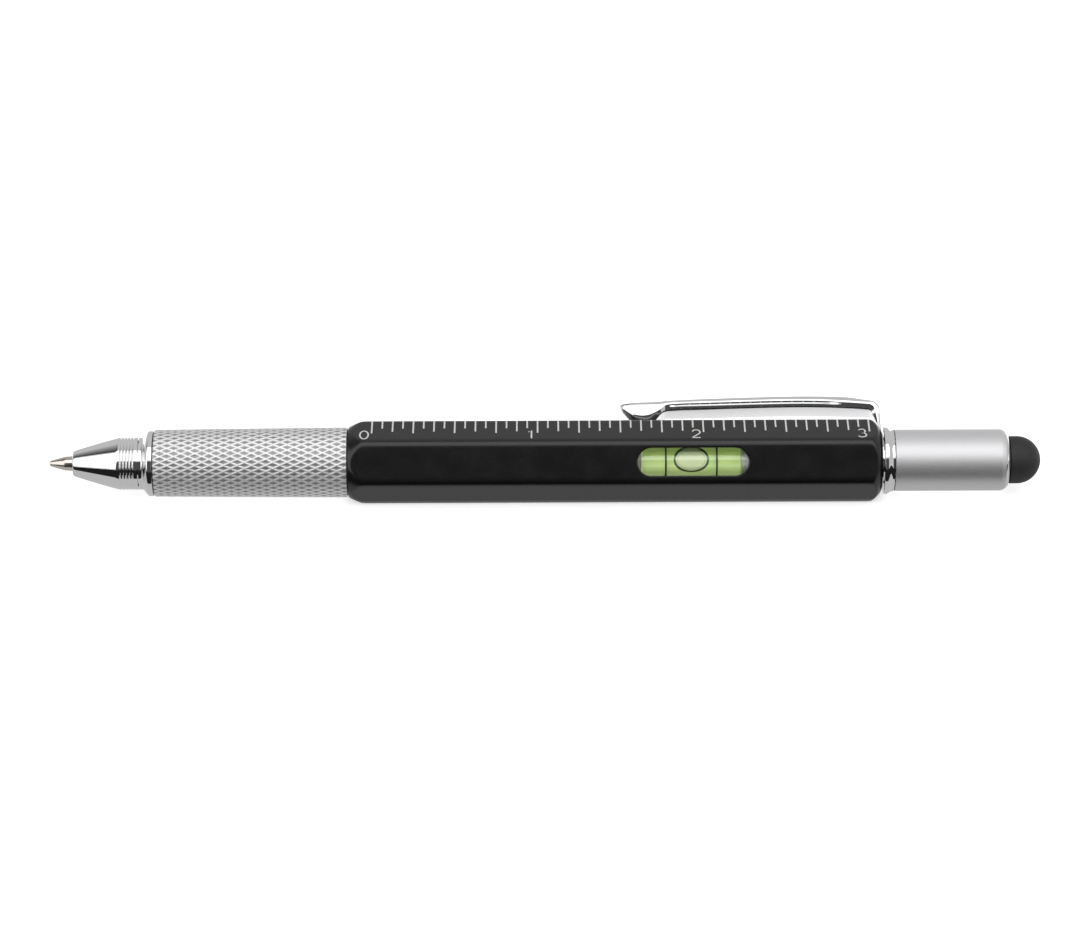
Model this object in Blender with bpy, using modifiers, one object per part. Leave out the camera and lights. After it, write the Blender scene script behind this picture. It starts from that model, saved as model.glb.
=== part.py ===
"""A pen with a twist-out refill, a knurled grip, a hexagonal ruler barrel with a level, a clip,
and a stylus cap over a double-ended screwdriver bit.

The pen lies along X on one flat of its barrel, tip to -X. Z = 0 is that flat, and X = 0 is the
middle of the barrel. The ruler flat faces up, the level looks to the front (-Y and up), and the
clip lies over the back flat (+Y and up). All sizes are in metres.
"""

import math

import bmesh
import bpy
from mathutils import Matrix, Vector

# Clearances
FACE_GAP = 0.00015
SEAT_GAP = 0.0002
RUN_GAP = 0.00015
OVERRUN = 0.001
MERGE_GAP = 0.000001

# Hexagonal barrel
BARREL_LENGTH = 0.0819
ACROSS_FLATS = 0.0113
BARREL_WALL = 0.0011
BARREL_EDGE_RADIUS = 0.0013
FRONT_TURNED_LENGTH = 0.0023
FRONT_TURNED_RISE = 0.00095
FRONT_TURNED_POWER = 1.2
REAR_TURNED_LENGTH = 0.0019
REAR_TURNED_RISE = 0.0016
REAR_TURNED_POWER = 1.6
HEX_SIDES = 6

# Refill, of the small metal kind
REFILL_LENGTH = 0.067
REFILL_RADIUS = 0.001175
REFILL_REACH = 0.0037
TIP_CONE_LENGTH = 0.0022
TIP_SHOULDER_LENGTH = 0.0013
TIP_NOSE_RADIUS = 0.00046
TIP_SHOULDER_RADIUS = 0.0011
TIP_LENGTH = 0.0085
BALL_RADIUS = 0.00035
BALL_GAP = 0.00005
REFILL_WALL = 0.00035

# Nose cone
NOSE_CONE_LENGTH = 0.0069
NOSE_FRONT_RADIUS = 0.00195
NOSE_RADIUS = 0.00406
NOSE_EDGE_RADIUS = 0.0002
NOSE_BULGE = 0.00006
NOSE_GROOVES = 5
NOSE_GROOVE_PITCH = 0.00048
NOSE_GROOVE_DEPTH = 0.00011
NOSE_BAND_LENGTH = 0.00085
NOSE_THROAT_LENGTH = 0.003
NOSE_BORE_RADIUS = 0.002
SPIGOT_RADIUS = 0.0034
SPIGOT_LENGTH = 0.0065

# Chrome collar in front of the grip
FRONT_COLLAR_LENGTH = 0.00215
FRONT_COLLAR_RADIUS = 0.00508
FRONT_COLLAR_FLARE_START = 0.0002
FRONT_COLLAR_FLARE_LENGTH = 0.0014

# Knurled grip
GRIP_LENGTH = 0.0296
GRIP_FRONT_RADIUS = 0.00516
GRIP_REAR_RADIUS = 0.00541
GRIP_CHAMFER = 0.00015
GRIP_CHAMFER_DROP = 0.0003
KNURL_DEPTH = 0.00025
KNURL_STARTS = 26
KNURL_PITCH = 0.00215
GRIP_BORE_RADIUS = 0.0019
GRIP_SPIGOT_LENGTH = 0.0045
GRIP_SPIGOT_WALL = 0.0006

# Twist mechanism
REFILL_TRAVEL = 0.005
TWIST_ANGLE = math.radians(180.0)
SLOT_LAND = 0.003
GUIDE_WALL = 0.00065
CAM_WALL = 0.0008
CAM_FLANGE_LENGTH = 0.0008
CAM_FLANGE_LAND = 0.0002
BUSHING_LENGTH = 0.006
PIN_RADIUS = 0.0006
PIN_FIT_GAP = 0.0001
PIN_DEPTH = 0.0009
CARRIER_GRIP_LENGTH = 0.005
CARRIER_LENGTH = 0.009
CARRIER_PIN_SETBACK = 0.002

# Level
WINDOW_LENGTH = 0.017
WINDOW_WIDTH = 0.00434
WINDOW_CENTRE = 0.0119
VIAL_RADIUS = 0.0027
VIAL_WALL = 0.0005
VIAL_LENGTH = 0.019
VIAL_FLOOR = 0.0017
VIAL_PLUG_LENGTH = 0.0022
BAND_SPACING = 0.0078
BAND_WIDTH = 0.00025
BAND_THICKNESS = 0.00015
BAND_GAP = 0.0001
BUBBLE_LENGTH = 0.0054
BUBBLE_RADIUS = 0.0016
BUBBLE_RISE = 0.00022
BUBBLE_DRIFT = 0.004
CRADLE_WALL = 0.0013

# Rear collar, bit and magnet
COLLAR_RADIUS = 0.0052
COLLAR_WAIST_RADIUS = 0.00479
COLLAR_LENGTH = 0.00155
COLLAR_FLARE_START = 0.00045
COLLAR_FLARE_LENGTH = 0.0009
COLLAR_EDGE = 0.00012
COLLAR_SPIGOT_RADIUS = 0.0034
COLLAR_SPIGOT_LENGTH = 0.0105
COLLAR_FLOOR = 0.001
CAP_THREAD_RADIUS = 0.0032
CAP_THREAD_LENGTH = 0.0056
INSERT_LENGTH = 0.0075
MAGNET_RADIUS = 0.0019
MAGNET_LENGTH = 0.002
BIT_ACROSS_FLATS = 0.004
BIT_LENGTH = 0.0226
BIT_HEX_LENGTH = 0.0135
BIT_POINT_RADIUS = 0.0015
BIT_TIP_RADIUS = 0.0005
BIT_POINT_LENGTH = 0.0026
BIT_NECK_FILLET = 0.0008
BLADE_THICKNESS = 0.0006
BLADE_LENGTH = 0.0022
FLUTE_WIDTH = 0.0012
FLUTE_ROOT_RADIUS = 0.0003
FLUTE_COUNT = 4
FLUTE_TILT = math.radians(20.0)

# Cap and stylus
CAP_LENGTH = 0.0175
CAP_RADIUS = 0.00473
CAP_WALL = 0.00045
CAP_END_WALL = 0.001
CAP_END_RADIUS = 0.0039
CAP_SHOULDER_LENGTH = 0.0012
CAP_INSERT_LENGTH = 0.005
STYLUS_RADIUS = 0.00365
STYLUS_SKIRT = 0.0012
STYLUS_WALL = 0.0008
HOLDER_FLANGE_LENGTH = 0.0011

# Clip
CLIP_REACH = 0.04015
CLIP_HEIGHT = 0.0048
CLIP_WIDTH = 0.004
CLIP_EDGE = 0.0003
CLIP_RECESS_DEPTH = 0.0003
CLIP_RECESS_RIM = 0.0005
CLIP_BEND_RADIUS = 0.0015
WASHER_SHEET = 0.00035
WASHER_SINK = 0.0002
CLIP_LEG_WIDTH = 0.003
CLIP_LEG_DEPTH = 0.00125
CLIP_LEG_CLEARANCE = 0.00035
CLIP_SPLIT_HEIGHT = 0.0018
CLIP_SPLIT_GAP = 0.0002

# Counts of facets
LATHE_STEPS = 40
TURN_STEPS = 32
INNER_STEPS = 24
FINE_STEPS = 16
PROFILE_STEPS = 5
EDGE_STEPS = 3
LONG_EDGE_STEPS = 4
FLARE_STEPS = 5

# Faces that meet at less than this angle are shaded as one smooth surface
SMOOTH_ANGLE = math.radians(32.0)

# Places that follow from the sizes
AXIS_HEIGHT = ACROSS_FLATS / 2
CORNER_RADIUS = AXIS_HEIGHT / math.cos(math.pi / HEX_SIDES)
ROUNDED_CORNER = CORNER_RADIUS - BARREL_EDGE_RADIUS * (CORNER_RADIUS / AXIS_HEIGHT - 1)
BORE_RADIUS = AXIS_HEIGHT - BARREL_WALL
BARREL_FRONT = -BARREL_LENGTH / 2
BARREL_REAR = BARREL_LENGTH / 2

GRIP_REAR = BARREL_FRONT - FACE_GAP
GRIP_FRONT = GRIP_REAR - GRIP_LENGTH
FRONT_COLLAR_FRONT = GRIP_FRONT - FACE_GAP - FRONT_COLLAR_LENGTH
NOSE_BODY_LENGTH = NOSE_CONE_LENGTH + NOSE_GROOVES * NOSE_GROOVE_PITCH + NOSE_BAND_LENGTH
NOSE_REAR = FRONT_COLLAR_FRONT - FACE_GAP
NOSE_FRONT = NOSE_REAR - NOSE_BODY_LENGTH
REFILL_FRONT = NOSE_FRONT - REFILL_REACH
REFILL_REAR = REFILL_FRONT + REFILL_LENGTH

LINER_RADIUS = BORE_RADIUS - SEAT_GAP
GUIDE_BORE = LINER_RADIUS - GUIDE_WALL
CAM_RADIUS = GUIDE_BORE - RUN_GAP
CAM_BORE = CAM_RADIUS - CAM_WALL
CARRIER_RADIUS = CAM_BORE - RUN_GAP
GRIP_SPIGOT_RADIUS = CAM_BORE - SEAT_GAP
RING_SECTION = (BORE_RADIUS - CAM_RADIUS) / 2 - RUN_GAP
RING_X = GRIP_REAR + FACE_GAP + RING_SECTION
BUSHING_FRONT = RING_X + RING_SECTION + FACE_GAP
CAM_FLANGE_FRONT = BUSHING_FRONT + BUSHING_LENGTH + SEAT_GAP
GUIDE_FRONT = CAM_FLANGE_FRONT + CAM_FLANGE_LENGTH + SEAT_GAP
CAM_FRONT = GRIP_REAR + FACE_GAP
CARRIER_FRONT = REFILL_REAR - CARRIER_GRIP_LENGTH
PIN_X = CARRIER_FRONT + CARRIER_LENGTH - CARRIER_PIN_SETBACK
SLOT_REAR = PIN_X + REFILL_TRAVEL + PIN_RADIUS + RUN_GAP
GUIDE_LENGTH = SLOT_REAR + SLOT_LAND - GUIDE_FRONT
CAM_LENGTH = SLOT_REAR + SLOT_LAND - CAM_FRONT

WINDOW_TURN = math.radians(360 / HEX_SIDES)
CLIP_TURN = -WINDOW_TURN
VIAL_OFFSET = LINER_RADIUS - VIAL_RADIUS
VIAL_FRONT = WINDOW_CENTRE - VIAL_LENGTH / 2
CAVITY_FRONT = VIAL_FRONT + VIAL_FLOOR
CAVITY_REAR = VIAL_FRONT + VIAL_LENGTH - VIAL_PLUG_LENGTH
CAVITY_CENTRE = (CAVITY_FRONT + CAVITY_REAR) / 2
CAVITY_RADIUS = VIAL_RADIUS - VIAL_WALL
LIQUID_RADIUS = CAVITY_RADIUS - SEAT_GAP
CRADLE_LENGTH = VIAL_LENGTH + 2 * (SEAT_GAP + CRADLE_WALL)

WASHER_FRONT = BARREL_REAR - WASHER_SINK
WASHER_REAR = WASHER_FRONT + WASHER_SHEET
COLLAR_FRONT = WASHER_REAR + FACE_GAP
CAP_FRONT = COLLAR_FRONT + COLLAR_LENGTH + FACE_GAP
CAP_REAR = CAP_FRONT + CAP_LENGTH
CAP_BORE = CAP_RADIUS - CAP_WALL
SPIGOT_FRONT = COLLAR_FRONT - COLLAR_SPIGOT_LENGTH
MAGNET_FRONT = SPIGOT_FRONT + COLLAR_FLOOR + FACE_GAP
BIT_FRONT = MAGNET_FRONT + MAGNET_LENGTH + SEAT_GAP
STYLUS_BORE = STYLUS_RADIUS - STYLUS_WALL
STYLUS_POST_RADIUS = STYLUS_BORE - SEAT_GAP
STYLUS_POST_END = CAP_REAR + FACE_GAP + STYLUS_SKIRT
HOLDER_FRONT = CAP_REAR - CAP_END_WALL - FACE_GAP - HOLDER_FLANGE_LENGTH


def collection(name):
    """A new collection in the scene."""
    made = bpy.data.collections.new(name)
    bpy.context.scene.collection.children.link(made)
    return made


def clear_scene():
    """Removes the objects that a new scene starts with."""
    for obj in list(bpy.data.objects):
        bpy.data.objects.remove(obj)


def finish(name, colour, roughness, metallic, alpha=1.0, transmission=0.0):
    """A plain material for one kind of surface."""
    made = bpy.data.materials.new(name)
    made.use_nodes = True
    shader = made.node_tree.nodes["Principled BSDF"]
    shader.inputs["Base Color"].default_value = (*colour, 1.0)
    shader.inputs["Roughness"].default_value = roughness
    shader.inputs["Metallic"].default_value = metallic
    shader.inputs["Alpha"].default_value = alpha
    shader.inputs["Transmission Weight"].default_value = transmission
    made.diffuse_color = (*colour, alpha)
    return made


def place(obj, x, turn=0.0, helper=False):
    """Puts a piece on the pen's axis, turned about it, in its collection."""
    (CUTTERS if helper else PEN).objects.link(obj)
    obj.parent = AXIS
    obj.location.x = x
    obj.rotation_euler.x = turn
    if helper:
        obj.hide_render = True
        obj.display_type = "WIRE"
    return obj


def piece(name, mesh, x, turn=0.0, material=None, helper=False):
    """An object from a mesh, on the axis."""
    obj = bpy.data.objects.new(name, mesh)
    if material:
        mesh.materials.append(material)
    return place(obj, x, turn, helper)


def turned(name, profile, x, material=None, steps=TURN_STEPS, helper=False):
    """A solid turned about the axis from (x, radius) points.

    The outer side is listed from front to back. A profile whose ends lie on the axis is solid,
    and any other is a ring, closed from its last point to its first.
    """
    solid = profile[0][1] == 0 and profile[-1][1] == 0
    count = len(profile)
    edges = [(i, i + 1) for i in range(count - 1)]
    if not solid:
        edges.append((count - 1, 0))
    mesh = bpy.data.meshes.new(name)
    mesh.from_pydata([(px, radius, 0) for px, radius in profile], edges, [])
    obj = piece(name, mesh, x, 0.0, material, helper)
    screw = obj.modifiers.new("Turn", "SCREW")
    screw.axis = "X"
    screw.angle = 2 * math.pi
    screw.steps = steps
    screw.render_steps = steps
    screw.use_merge_vertices = True
    screw.merge_threshold = MERGE_GAP
    screw.use_normal_calculate = False
    screw.use_normal_flip = True
    return obj


def tube(name, length, outer, inner, x, material=None, steps=INNER_STEPS, helper=False):
    """A plain tube."""
    profile = [(0, outer), (length, outer), (length, inner), (0, inner)]
    return turned(name, profile, x, material, steps, helper)


def rod(name, length, radius, x, material=None, steps=INNER_STEPS, helper=False):
    """A plain round rod."""
    profile = [(0, 0), (0, radius), (length, radius), (length, 0)]
    return turned(name, profile, x, material, steps, helper)


def arc(centre, radii, start, end, steps=PROFILE_STEPS):
    """Points on an ellipse about centre, between two angles in degrees."""
    points = []
    for i in range(steps + 1):
        angle = math.radians(start + (end - start) * i / steps)
        points.append((centre[0] + radii[0] * math.cos(angle), centre[1] + radii[1] * math.sin(angle)))
    return points


def flare(start, length, first, last):
    """Points of an S-shaped rise or fall from one radius to another."""
    points = []
    for i in range(FLARE_STEPS + 1):
        part = i / FLARE_STEPS
        rise = (1 - math.cos(math.pi * part)) / 2
        points.append((start + length * part, first + (last - first) * rise))
    return points


def prism(name, sides, flat_radius, length, x, material=None, helper=False, spare=0.0):
    """A bar with regular flats, one of them facing up, and spare length at both ends."""
    bm = bmesh.new()
    corner = flat_radius / math.cos(math.pi / sides)
    depth = length + 2 * spare
    bmesh.ops.create_cone(
        bm, cap_ends=True, segments=sides, radius1=corner, radius2=corner, depth=depth
    )
    bmesh.ops.rotate(bm, verts=bm.verts, matrix=Matrix.Rotation(math.pi / 2, 3, "Y"))
    bmesh.ops.translate(bm, verts=bm.verts, vec=(length / 2, 0, 0))
    mesh = bpy.data.meshes.new(name)
    bm.to_mesh(mesh)
    bm.free()
    return piece(name, mesh, x, 0.0, material, helper)


def block(name, size, centre, x, turn=0.0, matrix=None):
    """A box as a cutter, turned by a matrix before it is moved to its centre."""
    bm = bmesh.new()
    bmesh.ops.create_cube(bm, size=1, matrix=Matrix.Diagonal((*size, 1)))
    if matrix:
        bmesh.ops.transform(bm, verts=bm.verts, matrix=matrix)
    bmesh.ops.translate(bm, verts=bm.verts, vec=centre)
    mesh = bpy.data.meshes.new(name)
    bm.to_mesh(mesh)
    bm.free()
    return piece(name, mesh, x, turn, None, True)


def stud(name, radius, low, high, x, turn=0.0, material=None, helper=False):
    """A round bar that stands out of the axis, from one radius to another."""
    bm = bmesh.new()
    bmesh.ops.create_cone(
        bm, cap_ends=True, segments=FINE_STEPS, radius1=radius, radius2=radius, depth=high - low
    )
    bmesh.ops.translate(bm, verts=bm.verts, vec=(0, 0, (low + high) / 2))
    mesh = bpy.data.meshes.new(name)
    bm.to_mesh(mesh)
    bm.free()
    return piece(name, mesh, x, turn, material, helper)


def loft(name, sections, x, turn, material=None, helper=False):
    """A closed solid through a row of sections with as many corners each."""
    bm = bmesh.new()
    rings = [[bm.verts.new(point) for point in section] for section in sections]
    corners = len(sections[0])
    for one, two in zip(rings, rings[1:]):
        for i in range(corners):
            j = (i + 1) % corners
            bm.faces.new((one[i], one[j], two[j], two[i]))
    bm.faces.new(rings[0])
    bm.faces.new(rings[-1])
    bmesh.ops.recalc_face_normals(bm, faces=bm.faces)
    mesh = bpy.data.meshes.new(name)
    bm.to_mesh(mesh)
    bm.free()
    return piece(name, mesh, x, turn, material, helper)


def boolean(obj, other, operation="DIFFERENCE"):
    """Cuts, joins or trims a piece with another."""
    modifier = obj.modifiers.new(other.name, "BOOLEAN")
    modifier.operation = operation
    modifier.solver = "EXACT"
    modifier.object = other
    return modifier


def settle(obj):
    """Applies the modifiers, and shades the round faces smooth."""
    bpy.context.view_layer.update()
    graph = bpy.context.evaluated_depsgraph_get()
    mesh = bpy.data.meshes.new_from_object(obj.evaluated_get(graph))
    obj.modifiers.clear()
    obj.data = mesh
    mesh.shade_smooth()
    mesh.set_sharp_from_angle(angle=SMOOTH_ANGLE)


# Hexagonal barrel


def turned_end(length, rise, power, full):
    """The outline that a lathe leaves on one end of the barrel, from its face to full radius."""
    points = []
    for i in range(PROFILE_STEPS + 1):
        part = i / PROFILE_STEPS
        points.append((length * part, full - rise * (1 - part) ** power))
    return points


def hex_barrel():
    """The barrel: a rounded hexagon, turned at both ends, with a through bore and a window.

    Its rear face has a notch for the clip's leg.
    """
    obj = prism(
        "hex_barrel", HEX_SIDES, AXIS_HEIGHT, BARREL_LENGTH, BARREL_FRONT, BLACK, spare=OVERRUN
    )
    long_edges = obj.data.attributes.new("bevel_weight_edge", "FLOAT", "EDGE")
    for edge in obj.data.edges:
        ends = [obj.data.vertices[i].co.x for i in edge.vertices]
        long_edges.data[edge.index].value = 1.0 if abs(ends[0] - ends[1]) > BARREL_LENGTH / 2 else 0.0
    bevel = obj.modifiers.new("Edges", "BEVEL")
    bevel.limit_method = "WEIGHT"
    bevel.width = BARREL_EDGE_RADIUS * math.tan(math.pi / HEX_SIDES)
    bevel.segments = LONG_EDGE_STEPS
    full = ROUNDED_CORNER + SEAT_GAP / 2
    front = turned_end(FRONT_TURNED_LENGTH, FRONT_TURNED_RISE, FRONT_TURNED_POWER, full)
    rear = turned_end(REAR_TURNED_LENGTH, REAR_TURNED_RISE, REAR_TURNED_POWER, full)
    outline = [(0, 0)] + front + [(BARREL_LENGTH - x, r) for x, r in reversed(rear)] + [(BARREL_LENGTH, 0)]
    lathe = turned("barrel_lathe", outline, BARREL_FRONT, helper=True, steps=LATHE_STEPS)
    boolean(obj, lathe, "INTERSECT")
    bore = rod(
        "barrel_bore", BARREL_LENGTH + 2 * OVERRUN, BORE_RADIUS, BARREL_FRONT - OVERRUN, helper=True,
        steps=TURN_STEPS,
    )
    boolean(obj, bore)
    boolean(obj, slot_cutter("level_window", WINDOW_LENGTH, WINDOW_WIDTH))
    notch_size = (2 * (WASHER_SINK + SEAT_GAP), CLIP_LEG_WIDTH + 2 * SEAT_GAP, AXIS_HEIGHT)
    boolean(obj, block("leg_notch", notch_size, (0, 0, AXIS_HEIGHT), BARREL_REAR, CLIP_TURN))


def slot_cutter(name, length, width):
    """A full-round slot through the level's flat."""
    outline = bpy.data.curves.new(name, "CURVE")
    outline.dimensions = "2D"
    outline.fill_mode = "BOTH"
    outline.extrude = AXIS_HEIGHT / 2
    spline = outline.splines.new("POLY")
    reach = length / 2 - width / 2
    points = arc((reach, 0), (width / 2, width / 2), -90, 90)
    points += arc((-reach, 0), (width / 2, width / 2), 90, 270)
    spline.points.add(len(points) - 1)
    for point, (px, py) in zip(spline.points, points):
        point.co = (px, py, 0, 1)
    spline.use_cyclic_u = True
    guide = bpy.data.objects.new(name + "_outline", outline)
    bpy.context.scene.collection.objects.link(guide)
    bpy.context.view_layer.update()
    graph = bpy.context.evaluated_depsgraph_get()
    mesh = bpy.data.meshes.new_from_object(guide.evaluated_get(graph))
    bpy.data.objects.remove(guide)
    bm = bmesh.new()
    bm.from_mesh(mesh)
    bmesh.ops.remove_doubles(bm, verts=bm.verts, dist=MERGE_GAP)
    bmesh.ops.translate(bm, verts=bm.verts, vec=(0, 0, AXIS_HEIGHT))
    bmesh.ops.recalc_face_normals(bm, faces=bm.faces)
    bm.to_mesh(mesh)
    bm.free()
    return piece(name, mesh, WINDOW_CENTRE, WINDOW_TURN, None, True)


# Refill


def refill():
    """The tube of ink, its writing tip and its ball."""
    seat = BALL_RADIUS + BALL_GAP
    tip = [
        (0, seat),
        (0, TIP_NOSE_RADIUS),
        (TIP_CONE_LENGTH, TIP_SHOULDER_RADIUS),
        (TIP_CONE_LENGTH + TIP_SHOULDER_LENGTH, REFILL_RADIUS),
        (TIP_LENGTH, REFILL_RADIUS),
        (TIP_LENGTH, REFILL_RADIUS - REFILL_WALL - SEAT_GAP),
        (TIP_LENGTH + TIP_CONE_LENGTH, REFILL_RADIUS - REFILL_WALL - SEAT_GAP),
        (TIP_LENGTH + TIP_CONE_LENGTH, seat),
    ]
    tip_x = REFILL_FRONT + BALL_RADIUS / 2
    turned("refill_tip", tip, tip_x, STEEL, FINE_STEPS)
    ball = arc((0, 0), (BALL_RADIUS, BALL_RADIUS), 180, 0)
    ball[0] = (-BALL_RADIUS, 0)
    ball[-1] = (BALL_RADIUS, 0)
    turned("writing_ball", ball, REFILL_FRONT + BALL_RADIUS, STEEL, FINE_STEPS)
    tube_x = tip_x + TIP_LENGTH + FACE_GAP
    tube(
        "refill_tube", REFILL_REAR - tube_x, REFILL_RADIUS, REFILL_RADIUS - REFILL_WALL, tube_x, BRASS,
        FINE_STEPS,
    )


# Nose and grip


def nose_cone():
    """The chrome cone that screws off the front, with its ring grooves and its threaded spigot."""
    length = NOSE_CONE_LENGTH
    edge = NOSE_EDGE_RADIUS
    throat = REFILL_RADIUS + RUN_GAP
    outline = [(0, throat), (0, NOSE_FRONT_RADIUS - edge)]
    outline += arc((edge, NOSE_FRONT_RADIUS - edge), (edge, edge), 180, 90, EDGE_STEPS)[1:]
    for i in range(1, PROFILE_STEPS + 1):
        part = i / PROFILE_STEPS
        radius = NOSE_FRONT_RADIUS + (NOSE_RADIUS - NOSE_FRONT_RADIUS) * part
        outline.append((edge + (length - edge) * part, radius + NOSE_BULGE * 4 * part * (1 - part)))
    for i in range(NOSE_GROOVES):
        start = length + i * NOSE_GROOVE_PITCH
        root = NOSE_RADIUS - NOSE_GROOVE_DEPTH
        outline.append((start + NOSE_GROOVE_PITCH / 2, root))
        outline.append((start + NOSE_GROOVE_PITCH, NOSE_RADIUS))
    outline += [
        (NOSE_BODY_LENGTH, NOSE_RADIUS),
        (NOSE_BODY_LENGTH, SPIGOT_RADIUS),
        (NOSE_BODY_LENGTH + SPIGOT_LENGTH, SPIGOT_RADIUS),
        (NOSE_BODY_LENGTH + SPIGOT_LENGTH, NOSE_BORE_RADIUS),
        (NOSE_BODY_LENGTH, NOSE_BORE_RADIUS),
        (NOSE_THROAT_LENGTH, throat),
    ]
    turned("nose_cone", outline, NOSE_FRONT, CHROME)


def front_collar():
    """The flared chrome ring between the nose and the grip."""
    outline = [(0, NOSE_RADIUS)]
    outline += flare(FRONT_COLLAR_FLARE_START, FRONT_COLLAR_FLARE_LENGTH, NOSE_RADIUS, FRONT_COLLAR_RADIUS)
    outline += [
        (FRONT_COLLAR_LENGTH, FRONT_COLLAR_RADIUS),
        (FRONT_COLLAR_LENGTH, SPIGOT_RADIUS + SEAT_GAP),
        (0, SPIGOT_RADIUS + SEAT_GAP),
    ]
    turned("front_collar", outline, FRONT_COLLAR_FRONT, CHROME)


def knurled_grip():
    """The grip: a slim cone whose skin rises to the crossings of two families of slanted ridges."""
    columns = 2 * KNURL_STARTS
    knurl_length = GRIP_LENGTH - 2 * GRIP_CHAMFER
    rows = 2 * round(knurl_length / KNURL_PITCH)
    last_row = rows + 2
    bm = bmesh.new()
    bmesh.ops.create_grid(bm, x_segments=last_row, y_segments=columns, size=0.5)
    bm.verts.ensure_lookup_table()
    high = []
    for vert in bm.verts:
        row = round((vert.co.x + 0.5) * last_row)
        column = round((vert.co.y + 0.5) * columns)
        x = GRIP_CHAMFER + knurl_length * (row - 1) / rows
        if row == 0:
            x = 0
        if row == last_row:
            x = GRIP_LENGTH
        radius = GRIP_FRONT_RADIUS + (GRIP_REAR_RADIUS - GRIP_FRONT_RADIUS) * x / GRIP_LENGTH
        if row in (0, last_row):
            radius -= GRIP_CHAMFER_DROP
        elif (row + column) % 2:
            radius -= KNURL_DEPTH
        else:
            high.append(vert)
        angle = 2 * math.pi * column / columns
        vert.co = (x, radius * math.cos(angle), radius * math.sin(angle))
    bmesh.ops.remove_doubles(bm, verts=bm.verts, dist=MERGE_GAP)
    bmesh.ops.connect_verts(bm, verts=[vert for vert in high if vert.is_valid])
    bmesh.ops.holes_fill(bm, edges=bm.edges, sides=0)
    bmesh.ops.recalc_face_normals(bm, faces=bm.faces)
    mesh = bpy.data.meshes.new("knurled_grip")
    bm.to_mesh(mesh)
    bm.free()
    obj = piece("knurled_grip", mesh, GRIP_FRONT, 0.0, SILVER)

    spigot_inner = GRIP_SPIGOT_RADIUS - GRIP_SPIGOT_WALL
    mouth = NOSE_REAR + SPIGOT_LENGTH + SEAT_GAP - GRIP_FRONT
    bore = [
        (-OVERRUN, 0),
        (-OVERRUN, SPIGOT_RADIUS + SEAT_GAP),
        (mouth, SPIGOT_RADIUS + SEAT_GAP),
        (mouth, GRIP_BORE_RADIUS),
        (GRIP_LENGTH - OVERRUN, GRIP_BORE_RADIUS),
        (GRIP_LENGTH - OVERRUN, spigot_inner),
        (GRIP_LENGTH + GRIP_SPIGOT_LENGTH + OVERRUN, spigot_inner),
        (GRIP_LENGTH + GRIP_SPIGOT_LENGTH + OVERRUN, 0),
    ]
    spigot = rod(
        "grip_spigot", GRIP_SPIGOT_LENGTH + OVERRUN, GRIP_SPIGOT_RADIUS, GRIP_REAR - OVERRUN, helper=True
    )
    boolean(obj, spigot, "UNION")
    boolean(obj, turned("grip_bore", bore, GRIP_FRONT, helper=True, steps=INNER_STEPS))
    return obj


# Twist mechanism


def helical_slot(name, x, radius_low, radius_high, width, travel, angle):
    """A cutter that winds about the axis while it moves along it."""
    slope = math.atan2(travel, angle * radius_low)
    half = width / math.cos(slope) / 2
    sections = []
    for i in range(INNER_STEPS + 1):
        part = i / INNER_STEPS
        turn = Matrix.Rotation(-angle * part, 3, "X")
        corners = ((-half, radius_high), (half, radius_high), (half, radius_low), (-half, radius_low))
        sections.append([turn @ Vector((along + travel * part, 0, radius)) for along, radius in corners])
    return loft(name, sections, x, 0.0, helper=True)


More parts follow.
